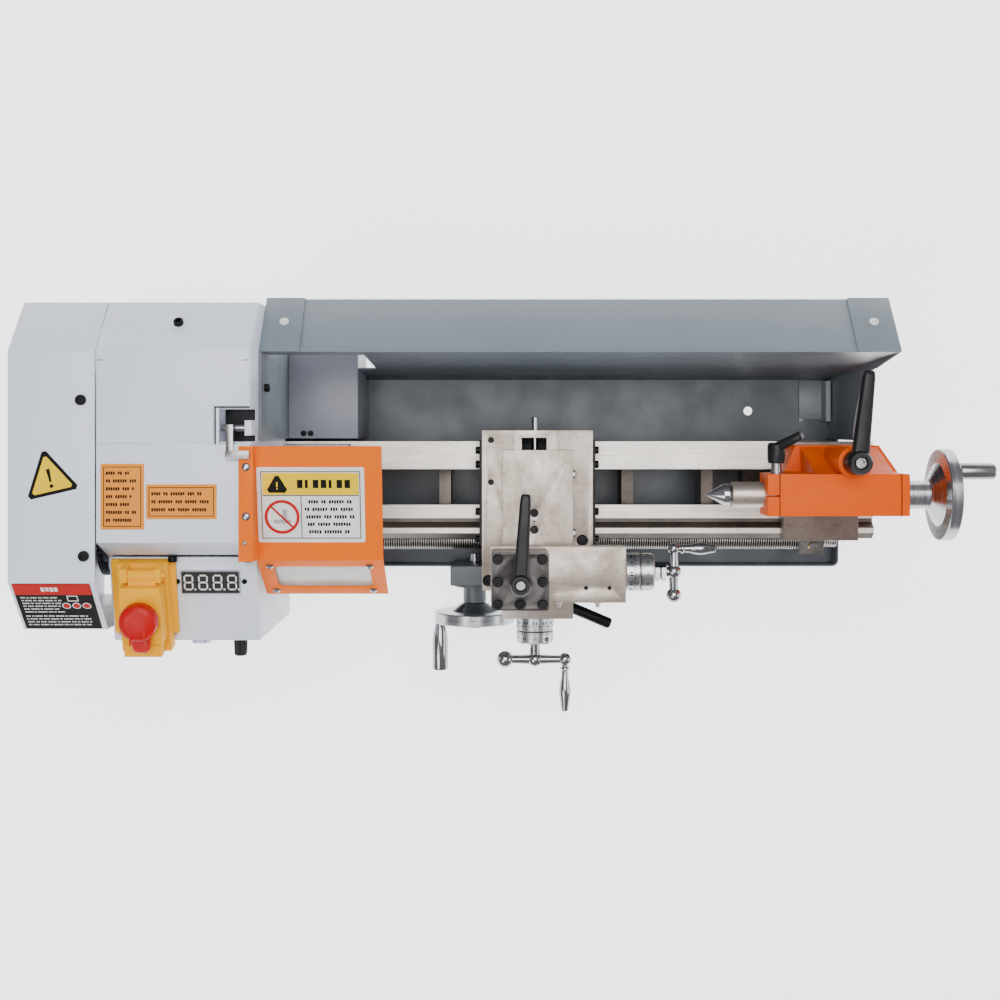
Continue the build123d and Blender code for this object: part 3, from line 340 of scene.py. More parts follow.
def rounded(width, height, corner, steps=4):
    """Points of a rectangle with round corners, centred on the origin."""
    points = []
    for k, (sx, sy) in enumerate(((1, 1), (-1, 1), (-1, -1), (1, -1))):
        for step in range(steps + 1):
            angle = math.pi / 2 * (k + step / steps)
            x = sx * (width / 2 - corner) + corner * math.cos(angle)
            y = sy * (height / 2 - corner) + corner * math.sin(angle)
            points.append((x, y))
    return points


def loft(rings, capped=True):
    """Skin over rings that all have the same number of points."""
    bm = bmesh.new()
    loops = [[bm.verts.new(point) for point in ring] for ring in rings]
    count = len(loops[0])
    for near, far in zip(loops, loops[1:]):
        for i in range(count):
            j = (i + 1) % count
            bm.faces.new((near[i], near[j], far[j], far[i]))
    if capped:
        bm.faces.new(list(reversed(loops[0])))
        bm.faces.new(loops[-1])
    bmesh.ops.recalc_face_normals(bm, faces=bm.faces)
    return bm


def stack(levels, count=32):
    """Skin over (height, radius) or (height, radius, corners) levels about Z."""
    rings = []
    for level in levels:
        corners = level[2] if len(level) > 2 else 0
        rings.append([(x, y, level[0]) for x, y in circle(level[1], count, corners)])
    return loft(rings)


def aim(origin, axis, turn=0.0):
    """Matrix that carries local Z onto an axis, with its origin at a point."""
    spin = Matrix.Rotation(turn, 4, "Z")
    return Matrix.Translation(origin) @ Vector(axis).to_track_quat("Z", "Y").to_matrix().to_4x4() @ spin


def moved(bm, matrix):
    bmesh.ops.transform(bm, matrix=matrix, verts=bm.verts)
    return bm


def shaft(origin, axis, levels, count=40):
    """Turned piece from (along, radius) or (along, radius, corners) steps given in millimetres."""
    steps = [(level[0] * MM, level[1] * MM, *level[2:]) for level in levels]
    return moved(stack(steps, count), aim(Vector(origin) * MM, axis))


def piece(name, parts, body, finish, sharp=32):
    """One object from a list of bmeshes, smooth but for its sharp edges, riding on a body."""
    joined = bmesh.new()
    for part in parts:
        held = bpy.data.meshes.new("held")
        part.to_mesh(held)
        joined.from_mesh(held)
        bpy.data.meshes.remove(held)
        part.free()
    mesh = bpy.data.meshes.new(name)
    joined.to_mesh(mesh)
    joined.free()
    mesh.polygons.foreach_set("use_smooth", [True] * len(mesh.polygons))
    mesh.set_sharp_from_angle(angle=math.radians(sharp))
    made = bpy.data.objects.new(name, mesh)
    bpy.context.scene.collection.objects.link(made)
    mesh.materials.append(look[finish])
    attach(made, body)
    return made


def body_of(node):
    """Body that a CAD node belongs to."""
    for body, members in frame["record"]["behaviour"]["bodies"].items():
        if node in members:
            return body
    raise KeyError(node)


def stand_in(node, name, parts, finish, sharp=40):
    """Piece that takes a CAD node's place, on the node's own body."""
    made = piece(name, parts, body_of(node), finish, sharp)
    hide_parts(node)


def softened(node, finish, width=0.5, angle=35):
    """Copy of a CAD piece with its sharp edges broken, standing in for the node."""
    bm = bmesh.new()
    bm.from_mesh(nodes[node].data)
    bmesh.ops.remove_doubles(bm, verts=bm.verts, dist=2e-6)
    bmesh.ops.dissolve_limit(bm, angle_limit=math.radians(1.0), verts=bm.verts, edges=bm.edges)
    edges = [e for e in bm.edges if e.is_manifold and e.calc_face_angle(0) > math.radians(angle)]
    bmesh.ops.bevel(bm, geom=edges, offset=width * MM, segments=2, profile=0.6, affect="EDGES",
                    clamp_overlap=True)
    stand_in(node, f"{node}_soft", [bm], finish, 32)


def seat(node, x, y, turn=0.0):
    """Matrix of the spot on top of a CAD node under (x, y): local Z off the face, local X along the lathe."""
    bm = bmesh.new()
    bm.from_mesh(nodes[node].data)
    tree = BVHTree.FromBMesh(bm)
    bm.free()
    spot, normal, _, _ = tree.ray_cast(Vector((x, y, 1)), Vector((0, 0, -1)))
    side = (Vector((1, 0, 0)) - normal * normal.x).normalized()
    up = normal.cross(side)
    rotation = Matrix((side, up, normal)).transposed().to_4x4()
    return Matrix.Translation(spot) @ rotation @ Matrix.Rotation(turn, 4, "Z")


def finish_node(node, finish):
    """Gives a CAD node that stays as it is one of the materials."""
    mesh = nodes[node].data
    mesh.materials.clear()
    mesh.materials.append(look[finish])


def cap_screw(origin, axis, radius, height, socket=0.52):
    """Socket-head screw with a chamfered rim and a hexagon socket."""
    rim = radius * 0.14
    levels = [(-0.0002, radius), (height - rim, radius), (height, radius - rim)]
    levels += [(height, radius * socket, 6), (height * 0.45, radius * socket, 6)]
    return moved(stack(levels, 36), aim(origin, axis))


def top_screw(node, x, y, radius, height):
    """Socket-head screw standing upright on top of a CAD node."""
    return cap_screw(seat(node, x, y).translation, UP, radius, height)


def rivet(origin, axis, radius):
    """Flat-domed blind rivet with its drawn centre."""
    levels = [(-0.0002, radius), (radius * 0.22, radius * 0.97), (radius * 0.42, radius * 0.7)]
    levels += [(radius * 0.46, radius * 0.42), (radius * 0.2, radius * 0.36), (radius * 0.2, 0.00005)]
    return moved(stack(levels, 28), aim(origin, axis))


def slab(width, height, thick, corner, matrix, edge=0.0002):
    """Thin plate with round corners and a broken upper edge."""
    base = rounded(width, height, corner)
    inner = rounded(width - 2 * edge, height - 2 * edge, max(corner - edge, edge))
    rings = [[(x, y, 0) for x, y in base]]
    rings.append([(x, y, thick - edge) for x, y in base])
    rings.append([(x, y, thick) for x, y in inner])
    return moved(loft(rings), matrix)


def disc(radius, thick, count, matrix):
    """Round plate given in millimetres."""
    return moved(stack([(0, radius * MM), (thick * MM, radius * MM)], count), matrix)


def block(low, high, matrix=HERE):
    """Plain thin block between two corners of a plane's own frame."""
    (x0, y0, z0), (x1, y1, z1) = low, high
    rings = [[(x0, y0, z), (x1, y0, z), (x1, y1, z), (x0, y1, z)] for z in (z0, z1)]
    return moved(loft(rings), matrix)


# Letters in each word of the imitation print.
WORDS = (4, 2, 6, 3, 5, 7, 2, 8)


def print_rows(width, height, rows, matrix, cap=0.5, centred=False):
    """Rows of small blocks where lines of print would be: words and gaps, but no letters."""
    blocks = []
    pitch = height / rows
    tall = pitch * cap
    step = tall * 0.72
    room = int(width / step)
    for row in range(rows):
        used = room - (row * 5 + 3) % 4
        start = (width - used * step) / 2 if centred else 0
        top = height / 2 - pitch * (row + 0.5) + tall / 2
        letter = 0
        word = row
        while letter < used:
            for _ in range(min(WORDS[word % len(WORDS)], used - letter)):
                x = -width / 2 + start + letter * step
                shape = tall * (1, 0.86, 1, 0.92)[(letter + row) % 4]
                blocks.append(block((x, top - shape, 0), (x + step * 0.74, top, PRINT), matrix))
                letter += 1
            letter += 1
            word += 1
    return blocks


def frame_lines(width, height, line, matrix):
    """Thin rectangle outline printed on a plate."""
    x, y = width / 2, height / 2
    bars = [((-x, y - line, 0), (x, y, PRINT)), ((-x, -y, 0), (x, line - y, PRINT))]
    bars.append(((-x, line - y, 0), (line - x, y - line, PRINT)))
    bars.append(((x - line, line - y, 0), (x, y - line, PRINT)))
    return [block(low, high, matrix) for low, high in bars]


def triangle(size, thick, matrix, corner=0.08):
    """Equilateral plate with blunt corners, pointing up in its own plane."""
    points = []
    for k in range(3):
        angle = math.radians(90 + 120 * k)
        for off in (-corner, corner):
            along = angle + off * 2.2
            points.append((size * math.cos(along), size * math.sin(along)))
    rings = [[(x, y, z) for x, y in points] for z in (0, thick)]
    return moved(loft(rings), matrix)


def tapered_arm(start, end, widths, heights):
    """Lever arm between two points, lofted from wide to narrow with soft edges and a blunt tip."""
    run = end - start
    across = Vector(UP).cross(run).normalized()
    up = run.normalized().cross(across).normalized()
    sections = ((0.0, 1.0), (0.12, 1.0), (0.35, 1.0), (0.65, 1.0), (0.93, 1.0), (0.985, 0.88), (1.0, 0.66))
    rings = []
    for spot, blunt in sections:
        width = (widths[0] + (widths[1] - widths[0]) * spot) * blunt
        height = (heights[0] + (heights[1] - heights[0]) * spot) * blunt
        centre = start + run * spot
        outline = rounded(width, height, min(width, height) * 0.3)
        rings.append([centre + across * x + up * y for x, y in outline])
    return loft(rings)


# ---- camera, light and floor --------------------------------------------------------------------
def put_camera():
    """Looks straight down on the lathe, with the optical axis a little above the middle of the picture."""
    data = bpy.data.cameras.new("camera")
    data.lens = 50
    data.sensor_width = 36
    data.shift_y = -0.075
    data.clip_start = 0.05
    camera = bpy.data.objects.new("camera", data)
    camera.location = (0.0115, 0.0546, 1.299)
    bpy.context.scene.collection.objects.link(camera)
    bpy.context.scene.camera = camera


def softbox(name, where, size, power):
    """Square area light aimed at the middle of the lathe."""
    data = bpy.data.lights.new(name, "AREA")
    data.size = size
    data.energy = power
    light = bpy.data.objects.new(name, data)
    light.location = where
    light.rotation_mode = "QUATERNION"
    light.rotation_quaternion = (Vector((0, 0, 0.15)) - Vector(where)).to_track_quat("-Z", "Y")
    bpy.context.scene.collection.objects.link(light)


def put_lights():
    world = bpy.data.worlds.new("studio")
    world.use_nodes = True
    background = world.node_tree.nodes["Background"]
    background.inputs["Color"].default_value = (1, 1, 1, 1)
    background.inputs["Strength"].default_value = 0.34
    bpy.context.scene.world = world
    softbox("top", (0.1, 0.5, 2.3), 1.6, 46)
    softbox("key", (-0.9, -0.8, 1.9), 0.9, 12)
    softbox("right", (1.7, -0.2, 0.9), 0.8, 7)


def put_floor():
    """Pale sheet under the lathe, with a faint glow that keeps its shadows soft."""
    bm = bmesh.new()
    bmesh.ops.create_grid(bm, x_segments=8, y_segments=8, size=6)
    mesh = bpy.data.meshes.new("floor")
    bm.to_mesh(mesh)
    bm.free()
    floor = bpy.data.objects.new("floor", mesh)
    floor.location.z = cad_box[0].z
    s = Surface("floor_paper", 0.9)
    s.colour(s.ramp(s.grain(3, 2), [(0.3, (0.93, 0.93, 0.93)), (0.7, (0.95, 0.95, 0.95))]))
    s.shader.inputs["Emission Color"].default_value = (1, 1, 1, 1)
    s.shader.inputs["Emission Strength"].default_value = 2.0
    mesh.materials.append(s.mat)
    bpy.context.scene.collection.objects.link(floor)


put_camera()
put_lights()
put_floor()

# ---- finishes of the CAD pieces -----------------------------------------------------------------
FINISHES = {
    "rubber": ["rubber_feet"],
    "tray": ["chip_tray"],
    "guard": ["splash_back", "splash_ends"],
    "light_grey": ["motor_cover"],
    "grey": ["headstock_cover", "headstock_lid", "gear_cover", "control_box"],
    "dark_cast": ["headstock", "apron"],
    "bed": ["bed"],
    "iron": ["bed_rack", "leadscrew_brackets", "gear_studs", "half_nut_upper", "half_nut_lower",
             "tailstock_base"],
    "steel": ["motor_pulley", "spindle_bearings", "spindle", "spindle_pulley", "spindle_gear", "tumbler_gear",
              "stud_gear", "compound_gear", "guard_arm", "quill"],
    "thread": ["leadscrew"],
    "chuck": ["chuck_body", "chuck_jaw_1", "chuck_jaw_2", "chuck_jaw_3"],
    "motor": ["motor"],
    "belt": ["drive_belt"],
    "yellow": ["estop_base", "estop_lid"],
    "red": ["estop_button"],
    "black": ["speed_knob", "direction_knob", "toolpost_lever", "quill_lock_lever", "tail_clamp_lever"],
    "orange": ["chuck_guard"],
    "window": ["guard_window"],
    "ground_y": ["saddle", "cross_slide"],
    "ground_x": ["compound_base", "top_slide"],
    "post": ["toolpost"],
    "oxide": ["toolpost_screws", "half_nut_lever"],
    "chrome": ["handwheel_grip", "cross_crank", "compound_crank", "tail_center", "tail_grip"],
    "wheel_y": ["handwheel"],
    "wheel_x": ["tail_handwheel"],
    "orange_cast": ["tailstock_body"],
}
for finish, members in FINISHES.items():
    for member in members:
        finish_node(member, finish)

# ---- headstock end ------------------------------------------------------------------------------
for cover in ("gear_cover", "headstock_cover", "headstock_lid", "control_box"):
    softened(cover, "grey", 0.45)
softened("motor_cover", "light_grey", 0.6)
softened("estop_base", "yellow", 0.7)
softened("estop_lid", "yellow", 1.6)

cover_screws = []
for x, y in ((-0.2929, 0.0728), (-0.2907, -0.0406)):
    cover_screws.append(top_screw("gear_cover", x, y, 3.9 * MM, 3.2 * MM))
rear_spot = seat("headstock_cover", -0.2263, 0.1297)
cover_screws.append(cap_screw(rear_spot.translation, rear_spot.col[2].to_3d(), 3.6 * MM, 3.4 * MM))
for x in (-232.9, -176.3):
    cover_screws.append(cap_screw(mm(x, -43.6, 262.5), FRONT, 3.3 * MM, 4.2 * MM))
cover_screws.append(cap_screw(mm(-168.2, 83, 238), ALONG, 3.2 * MM, 3.6 * MM))
cover_screws.append(cap_screw(mm(-150, 43.2, 110), FRONT, 3.2 * MM, 3.6 * MM))
piece("cover_screws", cover_screws, "root", "oxide")

slits = [block(mm(x, 101.5, 291.5), mm(x + 4.2, 102.1, 291.6)) for x in (-280.9, -175.3)]
piece("lid_bend_slits", slits, "root", "ink")


def warning_triangle(size, matrix):
    """Black-edged yellow triangle with a plain stroke and dot."""
    piece("gear_warning_edge", [triangle(size, 0.25 * MM, matrix, 0.035)], "root", "ink")
    inner = matrix @ at(0, 0, 0.2)
    piece("gear_warning_field", [triangle(size * 0.80, PRINT, inner, 0.03)], "root", "label_yellow")
    top = inner @ at(0, 0, 0.15)
    wide = size * 0.07
    head, foot = size * 0.36, -size * 0.12
    outline = ((-wide, head), (-wide * 0.5, foot), (wide * 0.5, foot), (wide, head))
    stroke = loft([[(x, y, z) for x, y in outline] for z in (0, PRINT)])
    dot = moved(stack([(0, wide), (PRINT, wide)], 20), Matrix.Translation((0, -size * 0.26, 0)))
    piece("gear_warning_stroke", [moved(stroke, top), moved(dot, top)], "root", "ink")


warning_triangle(20.5 * MM, seat("gear_cover", -0.3154, 0.0155, math.radians(13)))

# Orange signs on the headstock cover: number, middle, width, height and rows of print.
for number, x, y, width, height, rows in ((1, -262.9, 2.5, 31.7, 47.9, 7), (2, -220, -1.2, 51.5, 25.4, 3)):
    spot = at(x, y, 290)
    sign = slab(width * MM, height * MM, 0.25 * MM, 0.8 * MM, spot, 0.05 * MM)
    piece(f"orange_sign_{number}", [sign], "root", "label_orange")
    over = spot @ at(0, 0, 0.2)
    lines = frame_lines((width - 4.2) * MM, (height - 4.2) * MM, 0.5 * MM, over)
    lines += print_rows((width - 8) * MM, (height - 8) * MM, rows, over, 0.42)
    piece(f"orange_sign_{number}_print", lines, "root", "ink")

# Black label on the gear cover's sloping front face.
LABEL_W, LABEL_H = 57 * MM, 50 * MM
label_spot = seat("gear_cover", -0.3155, -0.0794)
piece("gear_label", [slab(LABEL_W, LABEL_H, 0.25 * MM, 0.8 * MM, label_spot, 0.05 * MM)], "root", "ink")
over = label_spot @ at(0, 0, 0.2)
half_w, half_h = LABEL_W / 2 - 0.3 * MM, LABEL_H / 2
header_low = half_h - 12 * MM
header = block((-half_w, header_low, 0), (half_w, half_h - 0.3 * MM, PRINT), over)
piece("gear_label_header", [header], "root", "label_red")
bars = print_rows(30 * MM, 19 * MM, 6, over @ at(-10, 2, 0), 0.38)
bars += print_rows(49 * MM, 13 * MM, 4, over @ at(-1, -15.5, 0), 0.38)
heading = over @ Matrix.Translation((0, header_low + 6 * MM, 0.15 * MM))
bars += print_rows(27 * MM, 5 * MM, 1, heading, 0.9, True)
bars += frame_lines(8 * MM, 6 * MM, 0.7 * MM, over @ at(13, 9, 0))
piece("gear_label_print", bars, "root", "white")
for name, radius, thick, finish in (("discs", 3.2, 0.25, "white"), ("dots", 2.5, 0.35, "label_red")):
    discs = [disc(radius, thick, 28, over @ at(x, 1, 0)) for x in (7, 14.5, 22)]
    piece(f"gear_label_{name}", discs, "root", finish)

# Recess in the headstock cover, where the guard's hinge pin comes out.
pocket = block(mm(-192.3, 42.5, 267.6), mm(-170.3, 66, 267.9))
piece("pocket_liner", [pocket], "root", "oxide")
rim = [block(mm(-195.9, 40.4, 290), mm(-194.9, 68.1, 290.5))]
rim.append(block(mm(-194.9, 67.1, 290), mm(-170.2, 68.1, 290.5)))
piece("pocket_rim", rim, "root", "ink")

# Sloping panel: its own frame has x along the lathe, y up the slope and z out of it.
PANEL_RISE = 15 * MM
PANEL_RUN = 64.7 * MM
PANEL_TILT = math.atan2(PANEL_RISE, PANEL_RUN)
PANEL = at(0, -76.65, 250.5) @ Matrix.Rotation(PANEL_TILT, 4, "X")


def on_panel(x, y, z):
    return PANEL @ at(x, y, z)


DISPLAY = (-205.9, 14)
DIGIT = (7.2, 12.2)
DIGIT_PITCH = 10.9
display_body = slab(44.4 * MM, 18.2 * MM, 2.6 * MM, 1.2 * MM, on_panel(*DISPLAY, 0.1), 0.5 * MM)
piece("display_bezel", [display_body], "root", "black")
edge = frame_lines(44.2 * MM, 18 * MM, 0.6 * MM, on_panel(*DISPLAY, 2.6))
piece("display_rim", edge, "root", "bezel")


def segment(x0, y0, x1, y1, spot, half=0.55):
    """Hexagonal bar of a seven-segment digit between two points."""
    along = Vector((x1 - x0, y1 - y0)).normalized()
    across = Vector((-along.y, along.x))
    start = Vector((x0, y0)) + along * 0.35
    end = Vector((x1, y1)) - along * 0.35
    ring = [start, start + (along + across) * half, end + (across - along) * half, end]
    ring += [end - (along + across) * half, start + (along - across) * half]
    rings = [[(p.x * MM, p.y * MM, z) for p in ring] for z in (0, PRINT)]
    return moved(loft(rings), spot)


segments = []
w, h = DIGIT[0] / 2 - 0.6, DIGIT[1] / 2 - 0.6
for k in range(4):
    spot = on_panel(DISPLAY[0] - 16.4 + DIGIT_PITCH * k, DISPLAY[1], 2.65)
    segments += [segment(-w, y, w, y, spot) for y in (h, 0, -h)]
    segments += [segment(x, y, x, y + h, spot) for y in (0, -h) for x in (-w, w)]
    segments.append(disc(0.75, 0.2, 16, spot @ at(w + 1.9, -h, 0)))
piece("display_digits", segments, "root", "white")
side_screws = []
for side in (-25.2, 25.2):
    place = on_panel(DISPLAY[0] + side, DISPLAY[1], 0)
    side_screws.append(cap_screw(place.translation, PANEL.col[2].to_3d(), 1.9 * MM, 1.4 * MM))
piece("display_screws", side_screws, "root", "oxide")

# Stop switch: grey backing plate, gasket step, hinge barrel and the mushroom button with its pull tongue.
backing = slab(46 * MM, 60 * MM, 1.6 * MM, 4 * MM, on_panel(-255.5, 1, 0), 0.4 * MM)
piece("switch_backing", [backing], "root", "bezel")
barrels = []
for near, far in ((-267.2, -262.6), (-241.4, -237.8)):
    wide = (far - near) * MM
    levels = [(0, 3.9 * MM), (0.3 * MM, 4.3 * MM), (wide - 0.3 * MM, 4.3 * MM), (wide, 3.9 * MM)]
    barrels.append(moved(stack(levels, 28), aim(on_panel(near, 26, 21).translation, ALONG)))
piece("switch_hinge_barrels", barrels, "root", "yellow")
catch = slab(26 * MM, 9.4 * MM, 3.2 * MM, 1.6 * MM, on_panel(-254, -31.6, 21.6), 0.8 * MM)
catch_lip = slab(21 * MM, 2.6 * MM, 1.8 * MM, 0.9 * MM, on_panel(-254, -33.6, 24), 0.5 * MM)
piece("switch_catch", [catch, catch_lip], "root", "yellow")

BUTTON = (-252, -4)
levels = [(18, 7.8), (33, 7.8), (33.1, 12.6), (33.6, 13.6), (35, 14), (40, 14), (42.6, 13.4), (44.2, 11.6)]
levels = [(z * MM, r * MM) for z, r in [*levels, (44.9, 8.6), (45, 3)]]
mushroom = moved(stack(levels, 64), on_panel(*BUTTON, 0))
tongue = slab(13.4 * MM, 24 * MM, 3.4 * MM, 4.5 * MM, on_panel(BUTTON[0], -16.9, 33), 0.8 * MM)
ARCH_R = 5.2
ridge_path = [(ARCH_R, -12.5)]
for step in range(25):
    angle = math.pi * step / 24
    ridge_path.append((ARCH_R * math.cos(angle), 3.5 + ARCH_R * math.sin(angle)))
ridge_path.append((-ARCH_R, -12.5))


def ribbon(path, half, thick, matrix):
    """Raised line of constant width along a flat path in millimetres."""
    points = [Vector(p) for p in path]
    rings = []
    for i, point in enumerate(points):
        near = points[max(i - 1, 0)]
        far = points[min(i + 1, len(points) - 1)]
        along = (far - near).normalized()
        across = Vector((-along.y, along.x)) * half
        profile = ((-1, 0), (-0.9, thick), (0.9, thick), (1, 0))
        rings.append([Vector((*(point + across * side), z)) * MM for side, z in profile])
    return moved(loft(rings), matrix)


arch = ribbon(ridge_path, 0.7, 1.1, on_panel(BUTTON[0], BUTTON[1] - 3, 44.1))
stand_in("estop_button", "stop_mushroom", [mushroom, tongue, arch], "red", 32)


def front_wall(x):
    """Frame of a control on the front wall, with Z towards the operator."""
    return aim(mm(x, -109.3, 150), FRONT)


def ribbed_knob(node, x, levels, ribs):
    """Control knob: fluted skirt turned about the shaft, from (along, radius, flute depth) levels."""
    rings = []
    for z, radius, depth in levels:
        ring = []
        for k in range(ribs * 6):
            angle = 2 * math.pi * k / (ribs * 6)
            reach = radius - depth * (0.5 + 0.5 * math.cos(ribs * angle))
            ring.append(mm(reach * math.cos(angle), reach * math.sin(angle), z))
        rings.append(ring)
    stand_in(node, f"{node}_soft", [moved(loft(rings), front_wall(x))], "black")


SPEED_X = -202.9
direction = [(-8, 3, 0), (0.05, 3, 0), (0.1, 10.4, 0), (1.5, 10.6, 0.1), (3, 10.5, 0.9), (19, 10.1, 0.9)]
ribbed_knob("direction_knob", -271.4, [*direction, (21.4, 9.4, 0.5), (22, 8, 0)], 16)
speed = [(-8, 3, 0), (0.05, 3, 0), (0.1, 8.4, 0), (1.6, 8.5, 0), (2.2, 7, 0), (2.6, 6.2, 0.1), (4, 6.1, 0.7)]
ribbed_knob("speed_knob", SPEED_X, [*speed, (24, 5.3, 0.7), (26, 4.9, 0.2), (26.6, 4, 0)], 14)
pointer = block(mm(-0.5, 1.2, 26.4), mm(0.5, 4.2, 26.7), front_wall(SPEED_X))
piece("speed_pointer", [pointer], "speed_dial", "white")
levels = [(0, 7.9), (10.5, 7.9), (11.5, 7.1, 6), (14.5, 7.1, 6), (15.7, 6.2), (15.7, 2)]
fuse_cap = shaft((-235.2, -109.4, 150), FRONT, levels, 48)
piece("fuse_cap", [fuse_cap], "root", "black")

# ---- chuck guard --------------------------------------------------------------------------------
softened("chuck_guard", "orange", 0.8)
softened("guard_arm", "steel", 0.4)


def heading_blocks(count, step, height, matrix):
    """Row of solid blocks, wide and narrow by turns, in place of the heading's letters."""
    made = []
    for index in range(count):
        left = (index - count / 2) * step
        wide = step * (0.36 if index % 3 == 1 else 0.70)
        made.append(block((left, -height / 2, 0), (left + wide, height / 2, PRINT), matrix))
    return made


def flat_ring(path, half, thick):
    """Flat ring around the origin: its centre line is given, with the half width and thickness."""
    rings = []
    for side, z in ((1, 0), (1, thick), (-1, thick), (-1, 0)):
        rings.append([p + p.normalized() * half * side + Vector((0, 0, z)) for p in path])
    rings.append(rings[0])
    bm = loft(rings, capped=False)
    bmesh.ops.remove_doubles(bm, verts=bm.verts, dist=1e-7)
    return bm


def caution_plate():
    """White plate with a yellow header, a barred sign and rows of print."""
    body = "guard_unit"
    width, height, thick = 0.079, 0.057, 0.0006
    base = seat("chuck_guard", -0.1274, -0.0041)
    up = base @ at(0, 0, thick / MM)
    piece("guard_plate", [slab(width, height, thick, 0.0015, base)], body, "white")
    piece("guard_plate_frame", frame_lines(width - 0.006, height - 0.006, 0.0006, up), body, "ink")
    header = up @ at(0, 16, 0)
    piece("guard_plate_header", [slab(0.0705, 0.0165, PRINT, 0.0005, header, 0.0001)], body, "label_yellow")
    over = header @ at(-24.5, -1.6, 0.2)
    sign = [triangle(0.0078, PRINT, over)]
    sign += heading_blocks(7, 0.0058, 0.0062, header @ at(10.5, 0, 0.2))
    lines = up @ at(0, 7.2, 0)
    sign.append(block((-0.0353, -0.0003, 0), (0.0353, 0.0003, PRINT), lines))
    sign.append(block((-0.0075, -0.0325, 0), (-0.0069, 0, PRINT), lines))
    sign += print_rows(0.039, 0.0285, 5, up @ at(14.2, -9, 0), 0.46, True)
    piece("guard_plate_print", sign, body, "ink")
    mark = over @ at(0, -0.2, 0.4)
    strokes = ((-0.0005, 0.0034), (-0.0022, -0.0013))
    stroke = [block((-0.0005, low, 0), (0.0005, high, PRINT), mark) for low, high in strokes]
    piece("guard_plate_stroke", stroke, body, "label_yellow")
    left = up @ at(-21.5, -9, 0)
    centre_line = [Vector((*point, 0)) for point in circle(0.0118, 48)]
    slash = left @ Matrix.Rotation(math.radians(-45), 4, "Z")
    ring = [moved(flat_ring(centre_line, 0.0011, 0.0004), left)]
    ring.append(block((-0.0113, -0.0007, PRINT), (0.0113, 0.0007, 0.0005), slash))
    piece("guard_plate_ring", ring, body, "label_red")
    shape = [slab(0.013, 0.0030, PRINT, 0.0012, left @ at(0, -3.6, 0), 0.0001)]
    shape.append(slab(0.0036, 0.0085, PRINT, 0.0012, left @ at(2, 1.6, 0), 0.0001))
    piece("guard_plate_shape", shape, body, "grey_ink")


caution_plate()
facet_screws = []
dome = [(-0.0002, 0.0030), (0.0009, 0.0029), (0.0016, 0.0021), (0.0018, 0.0010, 6), (0.0009, 0.0010, 6)]
for x in (-0.1605, -0.086):
    for y in (-0.0507, -0.0723):
        spot = seat("chuck_guard", x, y)
        facet_screws.append(moved(stack(dome, 36), aim(spot.translation, spot.col[2].to_3d())))
piece("guard_window_screws", facet_screws, "guard_unit", "chrome")

flange_rivets = []
for x, y, radius in ((-0.1725, 0.0242, 0.0030), (-0.1725, -0.0117, 0.0030), (-0.1735, -0.0310, 0.0017)):
    flange_rivets.append(rivet(seat("chuck_guard", x, y).translation, UP, radius))
piece("guard_flange_rivets", flange_rivets, "guard_unit", "chrome")

# ---- splash guard and bed -----------------------------------------------------------------------
softened("splash_back", "guard", 0.4)
softened("splash_ends", "guard", 0.35)
softened("leadscrew_brackets", "bracket", 0.6)

tab_rivets = []
for x in (-0.1535, 0.2975):
    spot = seat("splash_ends", x, 0.1335)
    tab_rivets.append(rivet(spot.translation, spot.col[2].to_3d(), 0.0036))
piece("splash_rivets", tab_rivets, "root", "white")
latch = [top_screw("motor_cover", x, 0.0475, 0.0024, 0.0016) for x in (-0.155, -0.149)]
piece("motor_cover_screws", latch, "root", "oxide")

# Pale strips of painted light on the chip tray: the low one is a painted reflection of the right wall on the
# tray floor, the tall one a painted highlight on the inside of that wall.
strips = []
for x_low, x_high, rise in ((286.2, 289.4, 1.2), (306.5, 310.6, 20.0)):
    rings = []
    for y in (58.0, 60.5, 92.0, 94.5):
        low, high = 22.2, 22.2 + rise
        rings.append([mm(x_low, y, low), mm(x_high, y, low), mm(x_high, y, high), mm(x_low, y, high)])
    strips.append(loft(rings))
piece("tray_painted_highlights", strips, "root", "tray_highlight")

SCREW_Y = -0.0467
SCREW_Z = 0.075


def threaded_levels(start, end, radius, pitch, depth):
    """Levels of a bar with grooves at a thread's pitch, for stack()."""
    levels = []
    for turn in range(int((end - start) / pitch)):
        for share, sunk in ((0.0, 0.0), (0.32, 0.0), (0.46, 1.0), (0.84, 1.0)):
            levels.append((start + (turn + share) * pitch, radius - depth * sunk))
    levels.append((end, radius))
    return levels


def bare_gear(node, radius, centre):
    """Gear rim of a CAD shaft piece: everything inside a radius is taken away and the ends closed again."""
    bm = bmesh.new()
    bm.from_mesh(nodes[node].data)
    bmesh.ops.remove_doubles(bm, verts=bm.verts, dist=2e-6)
    inside = [v for v in bm.verts if math.hypot(v.co.y - centre[0], v.co.z - centre[1]) < radius]
    bmesh.ops.delete(bm, geom=inside, context="VERTS")
    open_edges = [e for e in bm.edges if e.is_boundary]
    bmesh.ops.holes_fill(bm, edges=open_edges)
    bmesh.ops.recalc_face_normals(bm, faces=bm.faces)
    return bm


